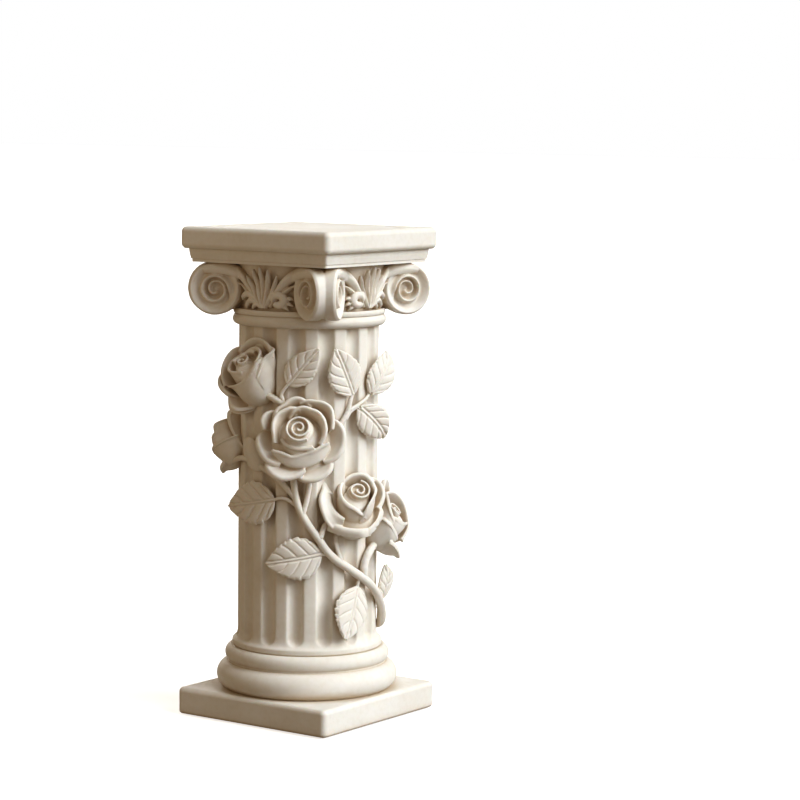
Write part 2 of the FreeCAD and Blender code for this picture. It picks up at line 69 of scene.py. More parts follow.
ROSES = {  # A, z, base radius, facing A, tilt
    "rose_large": (31.5, 351.0, 82.0, 31.5, 30.0),
    "rose_upper": (-11.0, 399.0, 70.0, -6.0, 56.0),
    "rose_left": (-44.0, 325.0, 78.0, -68.0, 33.0),
    "rose_lower": (82.0, 250.0, 74.0, 50.0, 45.0),
    "rose_right": (112.0, 217.0, 80.0, 113.0, 48.0),
}
LEAVES = {  # base A, base z, tip A, tip z, width, lift at the tip, rise of one edge
    "leaf_top_left": (21.5, 421.5, 44.5, 468.0, 38.0, 9.0, 0.0),
    "leaf_top_mid": (73.5, 409.0, 56.0, 467.0, 49.0, 10.0, 4.0),
    "leaf_top_right": (93.0, 408.5, 111.0, 458.5, 36.0, 9.0, -17.0),
    "leaf_mid_right": (80.0, 393.0, 106.0, 352.0, 41.0, 9.0, 15.0),
    "leaf_mid_left": (10.5, 278.5, -33.5, 264.0, 58.0, 15.0, 0.0),
    "leaf_low_left": (48.0, 212.0, 5.5, 199.0, 57.0, 8.0, 0.0),
    "leaf_low_mid": (80.0, 167.5, 66.0, 104.5, 55.0, 9.0, -5.0),
    "leaf_low_right": (121.0, 141.0, 117.0, 187.0, 30.0, 8.0, -14.0),
}
STALKS = {
    "leaf_top_left": [(17.0, 402.5), (16.0, 411.0), (20.8, 421.5), (25.0, 429.5)],
    "leaf_top_mid": [(71.4, 402.0), (73.2, 408.5), (72.0, 415.0)],
    "leaf_top_right": [(72.0, 391.0), (81.0, 397.0), (90.0, 404.5), (96.0, 415.0)],
    "leaf_mid_right": [(67.5, 380.0), (72.0, 388.5), (79.0, 393.0), (85.0, 386.0)],
    "leaf_mid_left": [(26.5, 275.0), (21.0, 280.0), (15.0, 281.0), (10.0, 278.5), (4.0, 276.5)],
    "leaf_low_left": [(55.0, 210.0), (51.0, 212.0), (47.0, 212.0), (41.0, 210.0)],
    "leaf_low_mid": [(82.5, 179.0), (81.0, 173.0), (80.0, 167.5), (78.7, 161.0)],
    "leaf_low_right": [(119.0, 132.0), (121.0, 137.0), (121.0, 142.0), (120.7, 149.0)],
}
STEMS = {
    "vine_main": (6.0, 4.3, [(168, 99.0, 1.0), (150, 102, 2.0), (133, 112, 2.5), (118, 135, 2.5), (97, 165, 2.0),
                             (73, 190, 1.5), (56, 209.5, 1.5), (44.6, 234, 1.0), (35, 256, 0.5),
                             (29, 277, 0.5), (26.5, 300, 0.5), (26.0, 322, 0.5)]),
    "stem_left_rose": (3.8, 3.4, [(27.5, 283, 2.0), (15, 302.5, 1.0), (2.5, 315, 1.0), (-12, 324, 1.5),
                                  (-28, 325, 3.0), (-45, 314, 9.0)]),
    "stem_large_rose": (3.4, 3.0, [(33.5, 262, 3.0), (36.5, 280, 1.5), (38.5, 300, 1.0), (39.0, 324, 1.0)]),
    "stem_lower_rose": (3.6, 3.2, [(47.0, 234, 3.5), (50.5, 247, 2.0), (56.5, 254, 1.5), (62, 258, 1.5)]),
    "stem_lower_spur": (2.8, 2.8, [(63.0, 206, 4.0), (60.5, 220, 2.0), (59.5, 236, 1.0), (62.5, 247, 1.0)]),
    "stem_right_rose": (5.2, 4.8, [(93.0, 169.5, 2.2), (86.8, 179, 2.5), (86.0, 191, 2.4), (89.5, 204, 2.2), (96, 213.5, 2.0), (104, 221, 2.4), (111, 226, 3.6)]),
    "stem_upper_right": (3.4, 3.0, [(56, 366, 1.0), (63, 374, 1.0), (69, 388, 1.0), (71.5, 402, 1.0)]),
    "stem_upper_left": (4.0, 4.4, [(27, 386, 1.0), (20, 396, 1.0), (10, 404, 1.0), (0, 411, 0.5)]),
}


# ------------------------------------------------------------------ helpers
def at(a, r, z):
    t = np.radians(a)
    return np.stack([r * np.sin(t), -r * np.cos(t), z + 0 * t], -1)


def unit(v):
    v = np.asarray(v, float)
    return v / np.maximum(np.linalg.norm(v, axis=-1, keepdims=True), 1e-12)


def smoothstep(a, b, x):
    t = np.clip((x - a) / (b - a), 0, 1)
    return t * t * (3 - 2 * t)


def spline(points, n):
    """n points on a uniform Catmull-Rom curve through points (any dimension)."""
    p = np.asarray(points, float)
    p = np.vstack([2 * p[0] - p[1], p, 2 * p[-1] - p[-2]])
    out = []
    m = len(p) - 3
    for t in np.linspace(0, m, n):
        i = min(int(t), m - 1)
        f = t - i
        a, b, c, d = p[i:i + 4]
        out.append(0.5 * ((2 * b) + (c - a) * f + (2 * a - 5 * b + 4 * c - d) * f ** 2 + (3 * b - a - 3 * c + d) * f ** 3))
    return np.array(out)


def grid_faces(n, m, offset=0, flip=False):
    i, j = np.meshgrid(np.arange(n - 1), np.arange(m - 1), indexing="ij")
    a = (i * m + j + offset).ravel()
    q = np.stack([a, a + m, a + m + 1, a + 1], -1)
    return q[:, ::-1] if flip else q


def normals(P):
    du = np.gradient(P, axis=0)
    dv = np.gradient(P, axis=1)
    return unit(np.cross(du, dv))


def thick_patch(P, front, back):
    """Closed shell from a grid of points, offset to both sides along its normals."""
    n, m = P.shape[:2]
    N = normals(P)
    f = np.broadcast_to(front, (n, m))[..., None]
    b = np.broadcast_to(back, (n, m))[..., None]
    top = (P + N * f).reshape(-1, 3)
    low = (P - N * b).reshape(-1, 3)
    k = n * m
    faces = [grid_faces(n, m), grid_faces(n, m, k, True)]
    edge = list(range(m)) + [i * m + m - 1 for i in range(1, n)] + [(n - 1) * m + j for j in range(m - 2, -1, -1)] + [i * m for i in range(n - 2, 0, -1)]
    e = np.array(edge)
    e2 = np.roll(e, -1)
    faces.append(np.stack([e, e2, e2 + k, e + k], -1))
    return np.vstack([top, low]), np.vstack(faces)


def tube(path, radius, sides=18, cap=True):
    """Tube with rounded ends along a fine path; radius is a number or one per point."""
    p = np.asarray(path, float)
    r = np.broadcast_to(np.asarray(radius, float), (len(p),)).copy()
    t = unit(np.gradient(p, axis=0))
    ref = np.array([0.31, 0.22, 0.92])
    x = unit(np.cross(t[0], ref))
    rings = []
    if cap:
        for s in (0.97, 0.8, 0.5, 0.2):
            k = math.sqrt(max(1e-4, 1 - s * s))
            rings.append((p[0] - t[0] * r[0] * s, r[0] * k, t[0]))
    for q, rr, tt in zip(p, r, t):
        rings.append((q, rr, tt))
    if cap:
        for s in (0.2, 0.5, 0.8, 0.97):
            k = math.sqrt(max(1e-4, 1 - s * s))
            rings.append((p[-1] + t[-1] * r[-1] * s, r[-1] * k, t[-1]))
    verts = []
    ang = np.linspace(0, 2 * math.pi, sides, endpoint=False)
    for q, rr, tt in rings:
        x = unit(x - tt * np.dot(x, tt))
        y = np.cross(tt, x)
        verts.append(q + rr * (np.cos(ang)[:, None] * x + np.sin(ang)[:, None] * y))
    n = len(rings)
    V = np.vstack(verts)
    faces = []
    for i in range(n - 1):
        for j in range(sides):
            a, b = i * sides + j, i * sides + (j + 1) % sides
            faces.append((a, b, b + sides, a + sides))
    faces = [tuple(f) for f in faces]
    faces.append(tuple(range(sides))[::-1])
    faces.append(tuple((n - 1) * sides + j for j in range(sides)))
    return V, faces


def ball(centre, radii, axes=None, n=14):
    """Closed ellipsoid as a quad sphere of latitude rings."""
    verts, faces = [], []
    axes = np.eye(3) if axes is None else np.asarray(axes)
    m = 2 * n
    for i in range(n + 1):
        th = math.pi * (i + 0.02) / (n + 0.04)
        for j in range(m):
            ph = 2 * math.pi * j / m
            d = np.array([math.sin(th) * math.cos(ph), math.sin(th) * math.sin(ph), math.cos(th)]) * radii
            verts.append(np.asarray(centre) + d @ axes)
    for i in range(n):
        for j in range(m):
            a, b = i * m + j, i * m + (j + 1) % m
            faces.append((a, a + m, b + m, b))
    faces.append(tuple(range(m)))
    faces.append(tuple(n * m + j for j in range(m))[::-1])
    return np.array(verts), faces


def lathe(outline, n=96):
    """Closed solid of revolution from a closed (r, z) outline that stays off the axis."""
    o = np.asarray(outline, float)
    k = len(o)
    ang = np.linspace(0, 2 * math.pi, n, endpoint=False)
    V = np.stack([np.outer(np.cos(ang), o[:, 0]), np.outer(np.sin(ang), o[:, 0]), np.broadcast_to(o[:, 1], (n, k))], -1).reshape(-1, 3)
    F = []
    for i in range(n):
        i2 = (i + 1) % n
        for j in range(k):
            j2 = (j + 1) % k
            F.append((i * k + j, i2 * k + j, i2 * k + j2, i * k + j2))
    return V, F


def make(name, V, F, smooth=True):
    me = bpy.data.meshes.new(name)
    me.from_pydata(((np.asarray(V) + [0.0, 0.0, LIFT]) * MM).tolist(), [], [list(map(int, f)) for f in F])
    me.validate()
    me.update()
    ob = bpy.data.objects.new(name, me)
    scene.collection.objects.link(ob)
    if smooth:
        me.polygons.foreach_set("use_smooth", [True] * len(me.polygons))
    return ob


def join(parts):
    V, F, k = [], [], 0
    for v, f in parts:
        V.append(np.asarray(v))
        F.extend([[int(i) + k for i in q] for q in f])
        k += len(v)
    return np.vstack(V), F


def recalc(ob):
    import bmesh
    bm = bmesh.new()
    bm.from_mesh(ob.data)
    bmesh.ops.recalc_face_normals(bm, faces=bm.faces)
    bm.to_mesh(ob.data)
    bm.free()


def drop_crumbs(me, least=300):
    """Remove loose specks that the remesh leaves in tight gaps."""
    n = len(me.vertices)
    e = np.empty(len(me.edges) * 2, np.int32)
    me.edges.foreach_get("vertices", e)
    a, b = e[0::2], e[1::2]
    lab = np.arange(n)
    while True:
        low = np.minimum(lab[a], lab[b])
        new = lab.copy()
        np.minimum.at(new, a, low)
        np.minimum.at(new, b, low)
        new = new[new]
        if (new == lab).all():
            break
        lab = new
    small = np.bincount(lab, minlength=n)[lab] < least
    if small.any():
        bm = bmesh.new()
        bm.from_mesh(me)
        bm.verts.ensure_lookup_table()
        bmesh.ops.delete(bm, geom=[bm.verts[int(i)] for i in np.nonzero(small)[0]], context="VERTS")
        bm.to_mesh(me)
        bm.free()


def fuse(name, parts, voxel=0.8, smooth=4, factor=0.5, thin=0.0):
    """One closed skin round overlapping closed parts, softened like a casting."""
    V, F = join(parts)
    tmp = make(name + "_tmp", V, F)
    recalc(tmp)
    mod = tmp.modifiers.new("remesh", "REMESH")
    mod.mode = "VOXEL"
    mod.voxel_size = voxel * MM
    mod.adaptivity = 0.0
    if smooth:
        s = tmp.modifiers.new("soft", "SMOOTH")
        s.factor = factor
        s.iterations = smooth
    if thin:
        d = tmp.modifiers.new("thin", "DECIMATE")
        d.ratio = thin
    dg = bpy.context.evaluated_depsgraph_get()
    me = bpy.data.meshes.new_from_object(tmp.evaluated_get(dg))
    bpy.data.objects.remove(tmp, do_unlink=True)
    drop_crumbs(me)
    me.name = name
    ob = bpy.data.objects.new(name, me)
    scene.collection.objects.link(ob)
    me.materials.clear()
    me.polygons.foreach_set("use_smooth", [True] * len(me.polygons))
    return ob


def move(part, frame3, origin):
    """Local coordinates to the row frame: rows of frame3 are the local axes."""
    V, F = part
    return np.asarray(V) @ np.asarray(frame3) + np.asarray(origin), F


# ------------------------------------------------------------------ materials
def stone(name, tint=(0.86, 0.84, 0.79), seed=0.0, pits=1.0):
    m = bpy.data.materials.new(name)
    m.use_nodes = True
    nt = m.node_tree
    nt.nodes.clear()
    new = nt.nodes.new
    link = nt.links.new
    out = new("ShaderNodeOutputMaterial")
    b = new("ShaderNodeBsdfPrincipled")
    link(b.outputs[0], out.inputs[0])
    tc = new("ShaderNodeTexCoord")
    mp = new("ShaderNodeMapping")
    mp.inputs["Location"].default_value = (seed * 1.7, seed * 2.3, seed * 0.9)
    link(tc.outputs["Object"], mp.inputs[0])

    def noise(scale, detail=4.0, rough=0.55):
        n = new("ShaderNodeTexNoise")
        n.inputs["Scale"].default_value = scale
        n.inputs["Detail"].default_value = detail
        n.inputs["Roughness"].default_value = rough
        link(mp.outputs[0], n.inputs["Vector"])
        return n

    cloud = noise(14.0, 3.0)
    grain = noise(420.0, 3.0, 0.6)
    speck = noise(130.0, 4.0, 0.62)
    # broad, faint clouding of the cast surface
    r1 = new("ShaderNodeValToRGB")
    r1.color_ramp.elements[0].position = 0.32
    r1.color_ramp.elements[0].color = (tint[0] * 0.965, tint[1] * 0.95, tint[2] * 0.925, 1)
    r1.color_ramp.elements[1].position = 0.68
    r1.color_ramp.elements[1].color = (min(1, tint[0] * 1.03), min(1, tint[1] * 1.03), min(1, tint[2] * 1.035), 1)
    link(cloud.outputs["Fac"], r1.inputs[0])
    # fine mineral grain
    r2 = new("ShaderNodeValToRGB")
    r2.color_ramp.elements[0].position = 0.36
    r2.color_ramp.elements[0].color = (0.955, 0.945, 0.925, 1)
    r2.color_ramp.elements[1].position = 0.56
    r2.color_ramp.elements[1].color = (1, 1, 1, 1)
    link(speck.outputs["Fac"], r2.inputs[0])
    mul = new("ShaderNodeMix")
    mul.data_type = "RGBA"
    mul.blend_type = "MULTIPLY"
    mul.inputs["Factor"].default_value = 0.8
    link(r1.outputs[0], mul.inputs["A"])
    link(r2.outputs[0], mul.inputs["B"])
    # painted shade: warm brown darkening in the hollows from an ambient occlusion mask, multiplied into the base
    # colour
    ao = new("ShaderNodeAmbientOcclusion")
    ao.samples = 6
    ao.inputs["Distance"].default_value = 0.019
    hollow_shade_ramp = new("ShaderNodeValToRGB")
    hollow_shade_ramp.color_ramp.elements[0].position = 0.25
    hollow_shade_ramp.color_ramp.elements[0].color = (0.60, 0.47, 0.32, 1)
    hollow_shade_ramp.color_ramp.elements[1].position = 0.85
    hollow_shade_ramp.color_ramp.elements[1].color = (1, 1, 1, 1)
    link(ao.outputs["AO"], hollow_shade_ramp.inputs[0])
    # multiply the painted hollow shade into the base colour
    mul2 = new("ShaderNodeMix")
    mul2.data_type = "RGBA"
    mul2.blend_type = "MULTIPLY"
    mul2.inputs["Factor"].default_value = 0.85
    link(mul.outputs["Result"], mul2.inputs["A"])
    link(hollow_shade_ramp.outputs[0], mul2.inputs["B"])
    link(mul2.outputs["Result"], b.inputs["Base Color"])
    # roughness varies a little with the grain
    rr = new("ShaderNodeMapRange")
    rr.inputs["To Min"].default_value = 0.58
    rr.inputs["To Max"].default_value = 0.78
    link(speck.outputs["Fac"], rr.inputs["Value"])
    link(rr.outputs[0], b.inputs["Roughness"])
    # soft casting texture: shallow undulation, grain and rare small pits
    vor = new("ShaderNodeTexVoronoi")
    vor.inputs["Scale"].default_value = 62.0
    link(mp.outputs[0], vor.inputs["Vector"])
    pit = new("ShaderNodeMapRange")
    pit.inputs["From Min"].default_value = 0.0
    pit.inputs["From Max"].default_value = 0.085
    link(vor.outputs["Distance"], pit.inputs["Value"])
    rare = new("ShaderNodeMath")
    rare.operation = "GREATER_THAN"
    rare.inputs[1].default_value = 0.93
    sep = new("ShaderNodeSeparateColor")
    link(vor.outputs["Color"], sep.inputs[0])
    link(sep.outputs[0], rare.inputs[0])
    pitmix = new("ShaderNodeMix")
    pitmix.inputs["A"].default_value = 1.0
    link(rare.outputs[0], pitmix.inputs["Factor"])
    link(pit.outputs[0], pitmix.inputs["B"])
    bump1 = new("ShaderNodeBump")
    bump1.inputs["Strength"].default_value = 0.35 * pits
    bump1.inputs["Distance"].default_value = 0.0008
    link(pitmix.outputs["Result"], bump1.inputs["Height"])
    bump2 = new("ShaderNodeBump")
    bump2.inputs["Strength"].default_value = 0.10
    bump2.inputs["Distance"].default_value = 0.0005
    link(grain.outputs["Fac"], bump2.inputs["Height"])
    link(bump1.outputs[0], bump2.inputs["Normal"])
    und = noise(38.0, 2.0)
    bump3 = new("ShaderNodeBump")
    bump3.inputs["Strength"].default_value = 0.16
    bump3.inputs["Distance"].default_value = 0.0012
    link(und.outputs["Fac"], bump3.inputs["Height"])
    link(bump2.outputs[0], bump3.inputs["Normal"])
    link(bump3.outputs[0], b.inputs["Normal"])
    b.inputs["Specular IOR Level"].default_value = 0.35
    b.inputs["Subsurface Weight"].default_value = 0.18
    b.inputs["Subsurface Radius"].default_value = (1.0, 0.62, 0.36)
    b.inputs["Subsurface Scale"].default_value = 0.004
    return m


def plain(name, dark, light, scale, rough, metallic=0.0, stretch=(1, 1, 1)):
    m = bpy.data.materials.new(name)
    m.use_nodes = True
    nt = m.node_tree
    b = nt.nodes["Principled BSDF"]
    tc = nt.nodes.new("ShaderNodeTexCoord")
    mp = nt.nodes.new("ShaderNodeMapping")
    mp.inputs["Scale"].default_value = stretch
    nt.links.new(tc.outputs["Object"], mp.inputs[0])
    n = nt.nodes.new("ShaderNodeTexNoise")
    n.inputs["Scale"].default_value = scale
    n.inputs["Detail"].default_value = 5.0
    nt.links.new(mp.outputs[0], n.inputs["Vector"])
    r = nt.nodes.new("ShaderNodeValToRGB")
    r.color_ramp.elements[0].position = 0.3
    r.color_ramp.elements[0].color = (*dark, 1)
    r.color_ramp.elements[1].position = 0.7
    r.color_ramp.elements[1].color = (*light, 1)
    nt.links.new(n.outputs["Fac"], r.inputs[0])
    nt.links.new(r.outputs[0], b.inputs["Base Color"])
    mr = nt.nodes.new("ShaderNodeMapRange")
    mr.inputs["To Min"].default_value = rough * 0.85
    mr.inputs["To Max"].default_value = min(1.0, rough * 1.15)
    nt.links.new(n.outputs["Fac"], mr.inputs["Value"])
    nt.links.new(mr.outputs[0], b.inputs["Roughness"])
    bp = nt.nodes.new("ShaderNodeBump")
    bp.inputs["Strength"].default_value = 0.3
    bp.inputs["Distance"].default_value = 0.0004
    nt.links.new(n.outputs["Fac"], bp.inputs["Height"])
    nt.links.new(bp.outputs[0], b.inputs["Normal"])
    b.inputs["Metallic"].default_value = metallic
    return m


MAT_STONE = stone("cast_stone")
MAT_ORN = stone("cast_ornament", tint=(0.87, 0.85, 0.80), seed=3.1, pits=0.5)
MAT_STEEL = plain("zinc_steel", (0.42, 0.43, 0.44), (0.62, 0.63, 0.64), 90.0, 0.35, 1.0, (1, 1, 0.15))
MAT_WOOD = plain("birch_ply", (0.50, 0.36, 0.22), (0.72, 0.56, 0.38), 60.0, 0.7, 0.0, (1, 0.12, 1))
MAT_FELT = plain("brown_felt", (0.06, 0.05, 0.04), (0.16, 0.13, 0.10), 900.0, 0.95)

by_slot = {"cast_stone": MAT_STONE, "cast_ornament": MAT_ORN, "steel": MAT_STEEL, "timber": MAT_WOOD, "felt": MAT_FELT}
slot_of = {s["node"]: s["material_slot"] for s in frame["record"]["subparts"]}
for name, ob in NODES.items():
    mat = by_slot[slot_of[name]]
    if not ob.material_slots:
        ob.data.materials.append(mat)
    for ms in ob.material_slots:
        ms.material = mat


def piece(ob, mat, slot, *nodes):
    ob.data.materials.clear()
    ob.data.materials.append(mat)
    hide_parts(*nodes)
    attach(ob, "root")
    return ob


# ------------------------------------------------------------------ shaft
def shaft():
    nA = FLUTES * 36
    A = FLUTE_FIRST_A + np.arange(nA) * 360.0 / nA
    z = np.concatenate([np.linspace(SHAFT_FOOT_Z, 132.0, 90), np.linspace(132.0, SHAFT_TOP, 60)[1:]])
    env = np.interp(z, [0, 1], [0, 0])
    flare = np.clip((z - SHAFT_FOOT_TOP) / (SHAFT_FLARE_TOP - SHAFT_FOOT_TOP), 0, 1)
    env = np.where(z < SHAFT_FOOT_TOP, SHAFT_FOOT_R, SHAFT_R + (SHAFT_FOOT_R - SHAFT_R) * (1 - np.sqrt(np.clip(1 - (1 - flare) ** 2, 0, 1))))
    # soften the two edges of the foot band
    env = env - 1.2 * np.clip(1 - (z - SHAFT_FOOT_Z) / 1.6, 0, 1) ** 2
    k = np.array([0.25, 0.5, 0.25])
    for _ in range(6):
        env[1:-1] = np.convolve(env, k, "same")[1:-1]
    step = 360.0 / FLUTES
    d_a = (A - FLUTE_FIRST_A + step / 2) % step - step / 2
    x = np.radians(d_a) * SHAFT_R
    yy = np.minimum(z - (FLUTE_END_Z + FLUTE_R * 0.98), 0.0)
    d = np.sqrt(x[:, None] ** 2 + yy[None, :] ** 2)
    a_half = math.sqrt(FLUTE_R ** 2 - (FLUTE_R - FLUTE_DEPTH) ** 2)
    inside = np.sqrt(np.clip(FLUTE_R ** 2 - np.minimum(d, a_half) ** 2, 0, None)) - (FLUTE_R - FLUTE_DEPTH)
    slope = a_half / (FLUTE_R - FLUTE_DEPTH)
    q = np.where(d < a_half, inside, -(d - a_half) * slope)
    e = 2.6
    dep = 0.5 * (q + np.sqrt(q * q + e * e))
    dep = np.where(q < -4 * e, 0.0, dep - 0.25 * e * e / (np.abs(q) + 2 * e) * (q < 0))
    dep = np.clip(dep, 0, None)
    # near the foot the flute bites into the flare
    R = env[None, :] - dep * 1.0
    outer = at(A[:, None], R, z[None, :])
    nz = len(z)
    inner_top = at(A, SHAFT_BORE_R, np.full(nA, z[-1]))
    inner_low = at(A, SHAFT_BORE_R, np.full(nA, z[0]))
    V = np.concatenate([outer, inner_top[:, None], inner_low[:, None]], 1)
    m = nz + 2
    F = []
    for i in range(nA):
        i2 = (i + 1) % nA
        for j in range(m):
            j2 = (j + 1) % m
            F.append((i * m + j, i2 * m + j, i2 * m + j2, i * m + j2))
    ob = make("shaft_fluted", V.reshape(-1, 3), F)
    mod = ob.modifiers.new("split", "EDGE_SPLIT")
    mod.split_angle = math.radians(60)
    return piece(ob, MAT_STONE, "cast_stone", "shaft")


shaft()


